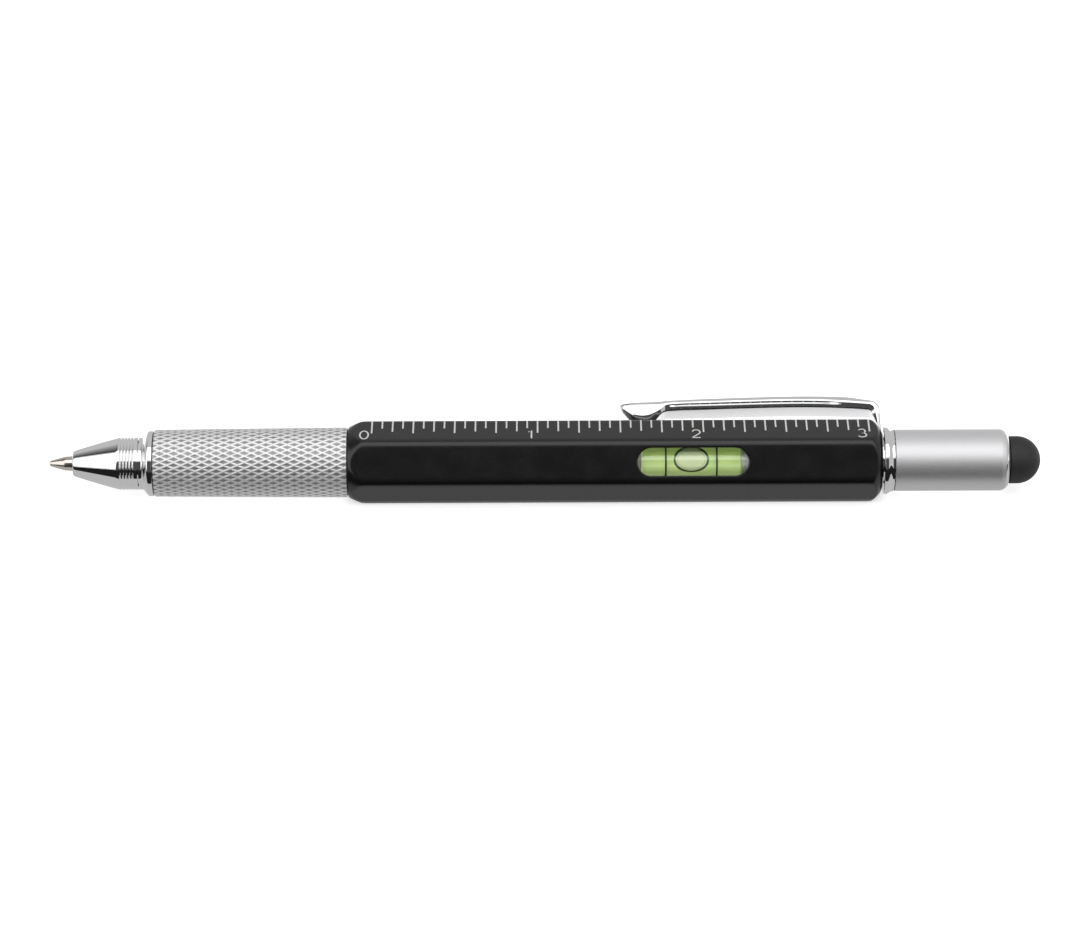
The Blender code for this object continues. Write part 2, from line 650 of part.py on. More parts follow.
def twist_mechanism():
    """The cam sleeve turns with the grip, and its helical slot drives a pin along a straight slot."""
    slot_width = 2 * (PIN_RADIUS + RUN_GAP)
    low = CARRIER_RADIUS - RUN_GAP
    high = LINER_RADIUS + OVERRUN

    flange_x = CAM_FLANGE_FRONT - CAM_FRONT
    cam = turned(
        "cam_sleeve",
        [
            (0, CAM_RADIUS),
            (flange_x, CAM_RADIUS),
            (flange_x, LINER_RADIUS - CAM_FLANGE_LAND),
            (flange_x + CAM_FLANGE_LENGTH, LINER_RADIUS - CAM_FLANGE_LAND),
            (flange_x + CAM_FLANGE_LENGTH, CAM_RADIUS),
            (CAM_LENGTH, CAM_RADIUS),
            (CAM_LENGTH, CAM_BORE),
            (0, CAM_BORE),
        ],
        CAM_FRONT, BRASS, INNER_STEPS,
    )
    boolean(cam, helical_slot("cam_slot", PIN_X, low, high, slot_width, REFILL_TRAVEL, TWIST_ANGLE))
    for end, turn in ((0, 0), (1, -TWIST_ANGLE)):
        at = PIN_X + REFILL_TRAVEL * end
        boolean(cam, stud(f"cam_slot_end_{end}", slot_width / 2, low, high, at, turn, helper=True))

    guide = tube("guide_tube", GUIDE_LENGTH, LINER_RADIUS, GUIDE_BORE, GUIDE_FRONT, STEEL)
    straight = (REFILL_TRAVEL, slot_width, high - low)
    centre = (REFILL_TRAVEL / 2, 0, (low + high) / 2)
    boolean(guide, block("guide_slot", straight, centre, PIN_X))
    for end in (0, 1):
        at = PIN_X + REFILL_TRAVEL * end
        boolean(guide, stud(f"guide_slot_end_{end}", slot_width / 2, low, high, at, helper=True))

    tube("front_bushing", BUSHING_LENGTH, LINER_RADIUS, GUIDE_BORE, BUSHING_FRONT, BRASS)
    section = arc((0, (BORE_RADIUS + CAM_RADIUS) / 2), (RING_SECTION, RING_SECTION), 180, -180)[:-1]
    turned("friction_ring", section, RING_X, RUBBER, FINE_STEPS)

    grip_bore = REFILL_RADIUS + RUN_GAP
    carrier = turned(
        "refill_carrier",
        [
            (0, CARRIER_RADIUS),
            (CARRIER_LENGTH, CARRIER_RADIUS),
            (CARRIER_LENGTH, PIN_RADIUS),
            (CARRIER_GRIP_LENGTH + FACE_GAP, PIN_RADIUS),
            (CARRIER_GRIP_LENGTH + FACE_GAP, grip_bore),
            (0, grip_bore),
        ],
        CARRIER_FRONT, WHITE, INNER_STEPS,
    )
    pin_low = CARRIER_RADIUS - PIN_DEPTH
    hole = stud("carrier_pin_hole", PIN_RADIUS + PIN_FIT_GAP, pin_low - PIN_FIT_GAP, high, PIN_X, helper=True)
    boolean(carrier, hole)
    stud("carrier_pin", PIN_RADIUS, pin_low, LINER_RADIUS - CAM_FLANGE_LAND, PIN_X, material=STEEL)


# Level


def vial_offset(obj, rise=0.0):
    """Moves a piece of the level off the pen's axis, towards the window."""
    toward = Matrix.Rotation(WINDOW_TURN, 3, "X") @ Vector((0, 0, VIAL_OFFSET))
    obj.location.y = toward.y
    obj.location.z = toward.z + rise
    return obj


def level():
    """The vial, its liquid with a channel for the bubble, its bands and plug, and its cradle."""
    groove = BAND_THICKNESS + BAND_GAP
    outline = [(0, 0), (0, VIAL_RADIUS)]
    for side in (-1, 1):
        band = CAVITY_CENTRE + side * BAND_SPACING / 2 - VIAL_FRONT
        front = band - BAND_WIDTH / 2 - BAND_GAP
        rear = band + BAND_WIDTH / 2 + BAND_GAP
        outline += [
            (front, VIAL_RADIUS),
            (front, VIAL_RADIUS - groove),
            (rear, VIAL_RADIUS - groove),
            (rear, VIAL_RADIUS),
        ]
    outline += [
        (VIAL_LENGTH, VIAL_RADIUS),
        (VIAL_LENGTH, CAVITY_RADIUS),
        (VIAL_FLOOR, CAVITY_RADIUS),
        (VIAL_FLOOR, 0),
    ]
    vial_offset(turned("level_vial", outline, VIAL_FRONT, CLEAR, INNER_STEPS))

    for name, side in (("vial_band_front", -1), ("vial_band_rear", 1)):
        x = CAVITY_CENTRE + side * BAND_SPACING / 2 - BAND_WIDTH / 2
        inner = VIAL_RADIUS - BAND_THICKNESS
        vial_offset(tube(name, BAND_WIDTH, VIAL_RADIUS, inner, x, BLACK, FINE_STEPS))

    plug_x = CAVITY_REAR + FACE_GAP
    plug_length = VIAL_PLUG_LENGTH - FACE_GAP
    vial_offset(rod("vial_plug", plug_length, CAVITY_RADIUS - SEAT_GAP, plug_x, WHITE))

    liquid_x = CAVITY_FRONT + FACE_GAP
    liquid_length = CAVITY_REAR - CAVITY_FRONT - FACE_GAP
    liquid = vial_offset(rod("vial_liquid", liquid_length, LIQUID_RADIUS, liquid_x, LIQUID))
    reach = BUBBLE_LENGTH / 2 + BUBBLE_DRIFT + SEAT_GAP
    channel_radius = BUBBLE_RADIUS + RUN_GAP
    channel = rod("bubble_channel", 2 * reach, channel_radius, CAVITY_CENTRE - reach, helper=True)
    boolean(liquid, vial_offset(channel, BUBBLE_RISE))
    mouth_size = (2 * reach, 2 * channel_radius, CAVITY_RADIUS)
    mouth = block("bubble_mouth", mouth_size, (0, 0, CAVITY_RADIUS / 2), CAVITY_CENTRE)
    boolean(liquid, vial_offset(mouth, BUBBLE_RISE))

    bubble = arc((0, 0), (BUBBLE_LENGTH / 2, BUBBLE_RADIUS), 180, 0, FLARE_STEPS)
    bubble[0] = (-BUBBLE_LENGTH / 2, 0)
    bubble[-1] = (BUBBLE_LENGTH / 2, 0)
    vial_offset(turned("vial_bubble", bubble, CAVITY_CENTRE, CLEAR, FINE_STEPS), BUBBLE_RISE)

    cradle_x = WINDOW_CENTRE - CRADLE_LENGTH / 2
    cradle = rod("vial_cradle", CRADLE_LENGTH, LINER_RADIUS, cradle_x, WHITE, TURN_STEPS)
    seat = VIAL_RADIUS + SEAT_GAP
    pocket_length = VIAL_LENGTH + 2 * SEAT_GAP
    pocket = rod("vial_pocket", pocket_length, seat, VIAL_FRONT - SEAT_GAP, helper=True, steps=TURN_STEPS)
    boolean(cradle, vial_offset(pocket))
    mouth_size = (pocket_length, 2 * seat, 2 * seat)
    mouth_centre = (0, 0, VIAL_OFFSET + seat)
    boolean(cradle, block("vial_mouth", mouth_size, mouth_centre, WINDOW_CENTRE, WINDOW_TURN))


# Rear collar, bit and cap


def rear_collar():
    """The collar that screws into the barrel, clamps the clip, carries the cap and holds the bit."""
    rear = COLLAR_LENGTH + CAP_THREAD_LENGTH
    outline = [(-COLLAR_SPIGOT_LENGTH, 0), (-COLLAR_SPIGOT_LENGTH, COLLAR_SPIGOT_RADIUS)]
    outline += [(0, COLLAR_SPIGOT_RADIUS), (0, COLLAR_RADIUS - COLLAR_EDGE), (COLLAR_EDGE, COLLAR_RADIUS)]
    outline += flare(COLLAR_FLARE_START, COLLAR_FLARE_LENGTH, COLLAR_RADIUS, COLLAR_WAIST_RADIUS)
    outline += [(COLLAR_LENGTH, COLLAR_WAIST_RADIUS)]
    outline += [(COLLAR_LENGTH, CAP_THREAD_RADIUS), (rear, CAP_THREAD_RADIUS), (rear, 0)]
    collar = turned("rear_collar", outline, COLLAR_FRONT, CHROME)
    seat_x = BIT_FRONT - SEAT_GAP / 2
    hex_length = COLLAR_FRONT + rear + OVERRUN - seat_x
    hex_radius = BIT_ACROSS_FLATS / 2 + SEAT_GAP
    boolean(collar, prism("bit_socket", HEX_SIDES, hex_radius, hex_length, seat_x, helper=True))
    magnet_hole = rod(
        "magnet_hole", MAGNET_LENGTH + 2 * SEAT_GAP, MAGNET_RADIUS + SEAT_GAP, MAGNET_FRONT - FACE_GAP,
        helper=True,
    )
    boolean(collar, magnet_hole)
    rod("bit_magnet", MAGNET_LENGTH, MAGNET_RADIUS, MAGNET_FRONT, STEEL)

    insert_x = WASHER_FRONT - SEAT_GAP - INSERT_LENGTH
    tube(
        "rear_insert", INSERT_LENGTH, LINER_RADIUS, COLLAR_SPIGOT_RADIUS + SEAT_GAP, insert_x, BRASS,
        TURN_STEPS,
    )


def driver_bit():
    """The double-ended bit: a flat blade inside the collar and a cross point under the cap."""
    hex_start = (BIT_LENGTH - BIT_HEX_LENGTH) / 2
    hex_end = hex_start + BIT_HEX_LENGTH
    corner = BIT_ACROSS_FLATS / 2 / math.cos(math.pi / HEX_SIDES)
    fillet = BIT_NECK_FILLET
    obj = prism(
        "driver_bit", HEX_SIDES, BIT_ACROSS_FLATS / 2, BIT_LENGTH, BIT_FRONT, STEEL, spare=OVERRUN
    )
    outline = [
        (0, 0),
        (0, BIT_POINT_RADIUS),
        (hex_start - fillet, BIT_POINT_RADIUS),
        (hex_start, corner),
        (hex_end, corner),
        (hex_end + fillet, BIT_POINT_RADIUS),
        (BIT_LENGTH - BIT_POINT_LENGTH, BIT_POINT_RADIUS),
        (BIT_LENGTH, BIT_TIP_RADIUS),
        (BIT_LENGTH, 0),
    ]
    boolean(obj, turned("bit_lathe", outline, BIT_FRONT, helper=True, steps=INNER_STEPS), "INTERSECT")
    for side in (-1, 1):
        size = (2 * BLADE_LENGTH, 2 * corner, corner)
        slope = math.atan2(BIT_POINT_RADIUS - BLADE_THICKNESS / 2, BLADE_LENGTH) / 2
        tilt = Matrix.Rotation(-side * slope, 4, "Y")
        centre = (0, 0, side * (BLADE_THICKNESS + corner) / 2)
        boolean(obj, block(f"blade_cut_{side}", size, centre, BIT_FRONT, 0.0, tilt))
    on_edge = math.pi / 4
    for i in range(FLUTE_COUNT):
        size = (2 * BIT_POINT_LENGTH, FLUTE_WIDTH, FLUTE_WIDTH)
        tilt = Matrix.Rotation(FLUTE_TILT, 4, "Y") @ Matrix.Rotation(on_edge, 4, "X")
        centre = (BIT_LENGTH, 0, FLUTE_ROOT_RADIUS + FLUTE_WIDTH / math.sqrt(2))
        turn = on_edge + 2 * math.pi * i / FLUTE_COUNT
        boolean(obj, block(f"flute_{i}", size, centre, BIT_FRONT, turn, tilt))


def cap():
    """The satin cap, its threaded insert, the stylus and the holder that keeps it."""
    shoulder = CAP_SHOULDER_LENGTH
    outline = [(0, CAP_RADIUS)]
    outline += arc(
        (CAP_LENGTH - shoulder, CAP_END_RADIUS), (shoulder, CAP_RADIUS - CAP_END_RADIUS), 90, 0
    )
    outline += [
        (CAP_LENGTH, STYLUS_POST_RADIUS + SEAT_GAP),
        (CAP_LENGTH - CAP_END_WALL, STYLUS_POST_RADIUS + SEAT_GAP),
        (CAP_LENGTH - CAP_END_WALL, CAP_BORE),
        (0, CAP_BORE),
    ]
    turned("cap_sleeve", outline, CAP_FRONT, SATIN)
    tube(
        "cap_insert", CAP_INSERT_LENGTH, CAP_BORE - SEAT_GAP, CAP_THREAD_RADIUS + RUN_GAP,
        CAP_FRONT + SEAT_GAP, BRASS, INNER_STEPS,
    )

    post_end = STYLUS_POST_END - HOLDER_FRONT
    flange = CAP_BORE - SEAT_GAP
    turned(
        "stylus_holder",
        [
            (0, 0),
            (0, flange),
            (HOLDER_FLANGE_LENGTH, flange),
            (HOLDER_FLANGE_LENGTH, STYLUS_POST_RADIUS),
            (post_end, STYLUS_POST_RADIUS),
            (post_end, 0),
        ],
        HOLDER_FRONT, WHITE, INNER_STEPS,
    )

    inner = STYLUS_BORE
    dome = arc((STYLUS_SKIRT, 0), (STYLUS_RADIUS, STYLUS_RADIUS), 90, 0, PROFILE_STEPS + 2)
    dome[-1] = (STYLUS_SKIRT + STYLUS_RADIUS, 0)
    hollow = arc((STYLUS_SKIRT, 0), (inner, inner), 0, 90)
    hollow[0] = (STYLUS_SKIRT + inner, 0)
    outline = [(0, inner), (0, STYLUS_RADIUS)] + dome + hollow
    stylus = outline[outline.index(hollow[0]):] + outline[:outline.index(hollow[0])]
    turned("stylus_tip", stylus, CAP_REAR + FACE_GAP, RUBBER, INNER_STEPS)


# Clip

# Stations of the clip from its tip to its bend, as shares: place along the reach; heights of the
# top, of the chine and of the keel above the flat, as shares of the clip's height; and half widths
# there, as shares of the width.
CLIP_STATION_SHARES = (
    (0.000, 0.780, 0.735, 0.700, 0.10, 0.09, 0.05),
    (0.010, 0.800, 0.690, 0.600, 0.27, 0.25, 0.12),
    (0.025, 0.803, 0.580, 0.440, 0.40, 0.32, 0.15),
    (0.054, 0.806, 0.394, 0.160, 0.48, 0.39, 0.17),
    (0.087, 0.815, 0.327, 0.045, 0.50, 0.41, 0.18),
    (0.116, 0.822, 0.348, 0.060, 0.50, 0.42, 0.19),
    (0.142, 0.830, 0.426, 0.210, 0.50, 0.44, 0.22),
    (0.165, 0.842, 0.545, 0.400, 0.50, 0.47, 0.34),
    (0.185, 0.852, 0.635, 0.500, 0.50, 0.495, 0.34),
    (0.220, 0.868, 0.680, 0.550, 0.50, 0.50, 0.375),
    (0.320, 0.912, 0.700, 0.560, 0.50, 0.50, 0.375),
    (0.468, 0.955, 0.710, 0.556, 0.50, 0.50, 0.375),
    (0.600, 0.988, 0.715, 0.552, 0.50, 0.50, 0.375),
    (0.700, 1.000, 0.715, 0.552, 0.50, 0.50, 0.375),
    (0.800, 0.992, 0.720, 0.560, 0.50, 0.50, 0.375),
    (0.885, 0.960, 0.725, 0.575, 0.50, 0.50, 0.375),
    (0.932, 0.893, 0.715, 0.560, 0.50, 0.50, 0.375),
)
CLIP_BOSS_STATIONS = 9
CLIP_BEND_TOP_SHARE = 0.838
CLIP_BEND_FOOT_SHARE = 0.545
CLIP_CHINE_SHARE = 0.55
CLIP_UNDERSIDE_SHARE = 0.75
CLIP_BEND_STEPS = 3


def clip_section(outer, inner, chine, top_half, chine_half, keel_half):
    """One cross-section of the clip: eight corners, from (x, height) points in its side view."""
    outer = Vector(outer)
    down = (Vector(inner) - outer).normalized()
    shoulder = outer + down * CLIP_EDGE
    rows = (
        (outer, top_half - min(CLIP_EDGE, top_half / 2)),
        (shoulder, top_half),
        (Vector(chine), chine_half),
        (Vector(inner), keel_half),
    )
    left = [Vector((point.x, -half, point.y)) for point, half in rows]
    right = [Vector((point.x, half, point.y)) for point, half in rows]
    return left + right[::-1]


def clip_arm(tip_x, split):
    """The sprung arm with its boat-shaped boss, a shallow recess under it and the bend."""
    sections = []
    recess = []
    for row, shares in enumerate(CLIP_STATION_SHARES):
        along, top, chine, keel, top_half, chine_half, keel_half = shares
        x = CLIP_REACH * along
        top, chine, keel = (AXIS_HEIGHT + CLIP_HEIGHT * share for share in (top, chine, keel))
        top_half, chine_half, keel_half = (CLIP_WIDTH * share for share in (top_half, chine_half, keel_half))
        sections.append(clip_section((x, top), (x, keel), (x, chine), top_half, chine_half, keel_half))
        if row > CLIP_BOSS_STATIONS:
            half = keel_half - CLIP_RECESS_RIM
            ceiling = keel + CLIP_RECESS_DEPTH
            floor = keel - OVERRUN
            recess.append(
                [
                    Vector((x, -half, ceiling)),
                    Vector((x, half, ceiling)),
                    Vector((x, half, floor)),
                    Vector((x, -half, floor)),
                ]
            )

    # The bend: sections fan round the inner corner until they lie across the leg.
    rear = CLIP_REACH + WASHER_SHEET
    radius = CLIP_BEND_RADIUS
    top = AXIS_HEIGHT + CLIP_HEIGHT * CLIP_BEND_TOP_SHARE
    outer_path = arc((rear - radius, top - radius), (radius, radius), 90, 0, CLIP_BEND_STEPS)
    outer_path.append((rear, split))
    front = rear - CLIP_LEG_DEPTH
    drop = AXIS_HEIGHT + CLIP_HEIGHT * CLIP_BEND_FOOT_SHARE - split
    inner_path = arc((front - drop, split), (drop, drop), 90, 0, CLIP_BEND_STEPS + 1)
    for step, (outer, inner) in enumerate(zip(outer_path, inner_path)):
        part = step / (CLIP_BEND_STEPS + 1)
        half = (CLIP_WIDTH + (CLIP_LEG_WIDTH - CLIP_WIDTH) * part) / 2
        chine = Vector(outer).lerp(Vector(inner), CLIP_CHINE_SHARE)
        sections.append(clip_section(outer, inner, chine, half, half, half * CLIP_UNDERSIDE_SHARE))
    arm = loft("clip_arm", sections, tip_x, CLIP_TURN, CHROME)
    boolean(arm, loft("clip_recess", recess, tip_x, CLIP_TURN, helper=True))


def clip_root(top):
    """The leg, which narrows towards the barrel's end, and the washer that the collar clamps."""
    root = tube(
        "clip_root", WASHER_SHEET, LINER_RADIUS, COLLAR_SPIGOT_RADIUS + SEAT_GAP, WASHER_FRONT, CHROME,
        TURN_STEPS,
    )
    half = CLIP_LEG_WIDTH / 2
    sections = []
    for depth, height in (
        (WASHER_SHEET, (LINER_RADIUS + COLLAR_SPIGOT_RADIUS) / 2),
        (WASHER_SHEET, AXIS_HEIGHT - CLIP_LEG_CLEARANCE),
        ((WASHER_SHEET + CLIP_LEG_DEPTH) / 2, AXIS_HEIGHT + CLIP_LEG_CLEARANCE),
        (CLIP_LEG_DEPTH, top),
    ):
        sections.append(
            [
                Vector((WASHER_SHEET - depth, -half, height)),
                Vector((WASHER_SHEET, -half, height)),
                Vector((WASHER_SHEET, half, height)),
                Vector((WASHER_SHEET - depth, half, height)),
            ]
        )
    boolean(root, loft("clip_leg", sections, WASHER_FRONT, CLIP_TURN, helper=True), "UNION")


def clip():
    """The sprung clip, as an arm and a root that meet at the split below the bend."""
    split = AXIS_HEIGHT + CLIP_SPLIT_HEIGHT
    clip_arm(WASHER_FRONT - CLIP_REACH, split)
    clip_root(split - CLIP_SPLIT_GAP)


clear_scene()
PEN = collection("multi_tool_pen")
CUTTERS = collection("cutters")
AXIS = bpy.data.objects.new("pen_axis", None)
AXIS.location = (0, 0, AXIS_HEIGHT)
PEN.objects.link(AXIS)

BLACK = finish("black_anodised", (0.025, 0.025, 0.027), 0.45, 0.0)
CHROME = finish("chrome", (0.78, 0.78, 0.79), 0.06, 1.0)
SILVER = finish("knurled_silver", (0.74, 0.74, 0.75), 0.28, 1.0)
SATIN = finish("satin_aluminium", (0.66, 0.66, 0.67), 0.38, 1.0)
STEEL = finish("tool_steel", (0.55, 0.53, 0.5), 0.3, 1.0)
BRASS = finish("brass", (0.72, 0.56, 0.3), 0.3, 1.0)
RUBBER = finish("black_rubber", (0.02, 0.02, 0.022), 0.7, 0.0)
WHITE = finish("white_plastic", (0.85, 0.86, 0.84), 0.45, 0.0)
CLEAR = finish("clear_plastic", (0.95, 0.97, 0.95), 0.05, 0.0, 0.35, 0.9)
LIQUID = finish("level_liquid", (0.62, 0.8, 0.3), 0.05, 0.0, 0.6, 0.6)

hex_barrel()
refill()
nose_cone()
front_collar()
knurled_grip()
twist_mechanism()
level()
rear_collar()
driver_bit()
cap()
clip()

for made in list(PEN.objects):
    if made.type == "MESH":
        settle(made)
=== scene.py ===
"""The finish of the pen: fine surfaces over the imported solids, materials, light and camera.

All sizes are in metres, in the frame of the solids: the pen lies along X with its tip to -X and
its ruler flat up. The level looks to -Y and up, and the clip lies over the flat that looks to +Y
and up.
"""

import math

import bmesh
import bpy
from mathutils import Matrix, Vector, noise


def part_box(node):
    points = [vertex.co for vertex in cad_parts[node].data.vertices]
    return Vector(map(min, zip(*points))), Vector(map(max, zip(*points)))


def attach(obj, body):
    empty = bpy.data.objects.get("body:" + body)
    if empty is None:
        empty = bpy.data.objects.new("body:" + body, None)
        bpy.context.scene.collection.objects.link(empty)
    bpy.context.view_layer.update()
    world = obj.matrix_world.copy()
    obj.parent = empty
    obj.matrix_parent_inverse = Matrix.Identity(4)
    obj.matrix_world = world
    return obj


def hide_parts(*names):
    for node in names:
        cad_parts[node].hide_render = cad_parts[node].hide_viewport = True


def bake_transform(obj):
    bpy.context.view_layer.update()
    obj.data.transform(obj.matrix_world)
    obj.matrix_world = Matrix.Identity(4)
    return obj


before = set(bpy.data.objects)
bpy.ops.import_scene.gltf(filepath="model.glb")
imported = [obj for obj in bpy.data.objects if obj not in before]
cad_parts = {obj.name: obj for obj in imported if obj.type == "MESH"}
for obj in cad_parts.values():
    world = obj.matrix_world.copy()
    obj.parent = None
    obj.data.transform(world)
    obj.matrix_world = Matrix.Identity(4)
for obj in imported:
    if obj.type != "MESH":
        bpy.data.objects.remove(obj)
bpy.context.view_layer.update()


def span(node):
    """First and last x of a node of the frame, and its radius about its own middle."""
    low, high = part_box(node)
    return low.x, high.x, (high.z - low.z) / 2


# Places and sizes read from the frame
BARREL_FRONT, BARREL_REAR, FLAT_RADIUS = span("hex_barrel")
AXIS_HEIGHT = (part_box("hex_barrel")[0].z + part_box("hex_barrel")[1].z) / 2
NOSE_FRONT, SPIGOT_REAR, NOSE_RADIUS = span("nose_cone")
COLLAR_FRONT, COLLAR_REAR, COLLAR_RADIUS = span("front_collar")
GRIP_FRONT, GRIP_SPIGOT_REAR, GRIP_RADIUS = span("knurled_grip")
TIP_FRONT, TIP_REAR, REFILL_RADIUS = span("refill_tip")
TUBE_FRONT, TUBE_REAR, TUBE_RADIUS = span("refill_tube")
BALL_FRONT, BALL_REAR, BALL_RADIUS = span("writing_ball")
VIAL_FRONT, VIAL_REAR, VIAL_RADIUS = span("level_vial")
LIQUID_REAR = span("vial_liquid")[1]
BUBBLE_FRONT, BUBBLE_REAR = span("vial_bubble")[:2]
REAR_COLLAR_FRONT, REAR_COLLAR_REAR, REAR_COLLAR_RADIUS = span("rear_collar")
CAP_FRONT, CAP_REAR, CAP_RADIUS = span("cap_sleeve")
STYLUS_FRONT, STYLUS_REAR, STYLUS_RADIUS = span("stylus_tip")
CLIP_TIP = span("clip_arm")[0]
WASHER_REAR = span("clip_root")[1]
BIT_FRONT = span("driver_bit")[0]
MAGNET_FRONT = span("bit_magnet")[0]
FACE_GAP = GRIP_FRONT - COLLAR_REAR
SEAT_GAP = 0.0002

# Barrel; each end is turned down along a curve with a length, a drop and a power
HEX_SIDES = 6
SECTOR = math.tau / HEX_SIDES
EDGE_RADIUS = 0.0013
HALF_FLAT = (FLAT_RADIUS - EDGE_RADIUS) * math.tan(SECTOR / 2)
BORE_RADIUS = FLAT_RADIUS - 0.0011
FRONT_TURNED = (0.0023, 0.00095, 1.2)
REAR_TURNED = (0.0019, 0.0016, 1.6)
LATHE_BLEND = 0.00016
RIM_RADIUS = 0.00018
END_STEPS = 30
SIDE_COLUMNS = 24
SIDE_EASE = 0.35
WINDOW_CENTRE = 0.0119
WINDOW_LENGTH = 0.017
WINDOW_WIDTH = 0.00434
WINDOW_CHAMFER = 0.00016
WINDOW_TURN = SECTOR

# Ruler print; four lengths of ticks repeat at every quarter of an inch, and each is measured from
# the turn where the flat's edge hides it
INCH = 0.0254
TICK_STEP = INCH / 16
TICK_COUNT = 49
TICK_FIRST = -0.03725
TICK_WIDTH = 0.00024
TICK_LENGTHS = (0.004, 0.0026, 0.00355, 0.0026)
TICK_LENGTH_TURN = math.radians(31.5)
TICK_BACK_TURN = math.radians(35)
TICK_STEPS = 8
INK_THICKNESS = 0.00001
DIGIT_HEIGHT = 0.0023
DIGIT_WIDTH = 0.00128
DIGIT_STROKE = 0.00023
DIGIT_GAP = 0.0005
DIGIT_FOOT = 0.00012

# Nose cone and threads
NOSE_FACE_RADIUS = 0.00195
NOSE_FACE_SLOPE = 0.3
NOSE_CONE_LENGTH = 0.00715
NOSE_BULGE = 0.00006
NOSE_EDGE = 0.0003
NOSE_STEPS = 16
NOSE_MOUTH_RADIUS = REFILL_RADIUS + NOSE_EDGE / 2
NOSE_BORE_RADIUS = REFILL_RADIUS * 1.7
NOSE_GROOVES = 5
NOSE_GROOVE_PITCH = 0.00048
NOSE_GROOVE_WIDTH = 0.00027
NOSE_GROOVE_DEPTH = 0.0001
NOSE_GROOVE_EDGE = 0.00003
SPIGOT_RADIUS = 0.0034
THREAD_PITCH = 0.0005
THREAD_DEPTH = 0.00022
THREAD_FLANK = 1.25
THREAD_STEPS = 8

# Front collar
FRONT_FLARE_START = 0.0004
FRONT_FLARE_LENGTH = 0.0011

# Knurled grip
KNURL_STARTS = 34
KNURL_PITCH = 0.002165
KNURL_DEPTH = 0.00014
KNURL_SHARPNESS = 2.4
KNURL_STEPS = 12
KNURL_CREASE = 50
PIT_GRAIN = 0.00022
PIT_RELIEF = 0.00004
GRIP_TAPER = 0.00025
GRIP_CHAMFER = 0.00015
GRIP_CHAMFER_DROP = 0.00015
# Painted shade in the knurl's pits: the colour darkens from the crests (rise 1) into the pits (rise
# 0), as (rise, colour)
KNURL_PIT_SHADE_STOPS = (
    (0.0, (0.36, 0.36, 0.36)),
    (0.3, (0.52, 0.52, 0.52)),
    (0.6, (0.95, 0.95, 0.95)),
    (1.0, (1.0, 1.0, 1.0)),
)
GRIP_BORE_RADIUS = 0.0019
GRIP_SPIGOT_RADIUS = 0.00255
GRIP_SPIGOT_WALL = 0.0006

# Refill tip
TIP_SHOULDER = (TIP_REAR - TIP_FRONT) * 0.21
TIP_SHOULDER_RADIUS = REFILL_RADIUS * 0.93
TIP_SHANK = TIP_SHOULDER * 1.6
TIP_LIP_RADIUS = BALL_RADIUS * 1.3
TIP_LIP_EDGE = BALL_RADIUS * 0.2
TIP_SHOULDER_EDGE = BALL_RADIUS * 0.6
TIP_SHANK_EDGE = BALL_RADIUS * 0.5
TUBE_EDGE = (TUBE_RADIUS - BALL_RADIUS) / 6
REFILL_COLUMNS = 64
BALL_STEPS = 16
BALL_COLUMNS = 32

# Clip
CLIP_TURN = -SECTOR
CLIP_REACH = 0.04015
CLIP_HEIGHT = 0.0048
CLIP_WIDTH = 0.004
CLIP_TOP_EDGE = 0.0008
CLIP_TOP_EDGE_SHARE = 0.8
CLIP_CHINE_EDGE = 0.0002
CLIP_LIP_EDGE = 0.00006
CLIP_LIP_IN = 0.00015
CLIP_LIP_OUT = 0.00011
CLIP_BEND_RADIUS = 0.0015
CLIP_LEG_WIDTH = 0.003
CLIP_LEG_DEPTH = 0.00125
CLIP_LEG_CLEARANCE = 0.00035
CLIP_SPLIT_HEIGHT = 0.0018
CLIP_STEPS = 5
CLIP_BEND_STEPS = 14
CLIP_CREASE = 40
WASHER_SHEET = 0.00035
WASHER_SINK = 0.0002
WASHER_RADIUS = 0.00435
WASHER_BORE = 0.0036
WASHER_EDGE = FACE_GAP / 3

# Rear collar, cap and stylus
COLLAR_WAIST = 0.00479
COLLAR_LENGTH = 0.00155
COLLAR_LAND = 0.000405
COLLAR_FLARE_START = 0.00045
COLLAR_FLARE_LENGTH = 0.0009
COLLAR_EDGE = 0.00012
COLLAR_ROOT_RADIUS = 0.0034 - THREAD_DEPTH
CAP_ROOT_RADIUS = 0.0032 - THREAD_DEPTH
BIT_FLAT_RADIUS = 0.0022
BIT_END_PLAY = 0.0001
MAGNET_HOLE_RADIUS = 0.0021
MAGNET_END_PLAY = 0.00015
CAP_BORE = 0.00428
CAP_SHOULDER = 0.0012
CAP_KNEE = CAP_SHOULDER * 0.4
CAP_END_RADIUS = 0.0039
CAP_KNEE_RADIUS = (CAP_RADIUS * 2 + CAP_END_RADIUS) / 3
CAP_RING = CAP_SHOULDER / 2
CAP_END_WALL = 0.001
CAP_MOUTH_RADIUS = 0.00285
STYLUS_SKIRT = 0.0012
STYLUS_BORE = 0.00285

# Level
VIAL_WALL = 0.0005
VIAL_FLOOR = 0.0017
BAND_THICKNESS = 0.00015
BAND_RISE = BAND_THICKNESS / 3
VIAL_COLUMNS = 96
LIQUID_GAP = 0.00003
BUBBLE_HALF_WIDTH = 0.0018
BUBBLE_FULLNESS = 2.25
BUBBLE_RISE = 0.0003
BUBBLE_SEAT = 0.000002
BUBBLE_SKIN = 0.000023
BUBBLE_STEPS = 16
LIQUID_SHADE_REACH = 1.2

# Camera
VIEW_ELEVATION = math.radians(31.5)
VIEW_DISTANCE = 0.66
VIEW_LENS = 143
VIEW_X = -0.0115
VIEW_DROP = 0.00068
VIEW_ROLL = math.radians(0.23)
VIEW_END = 10

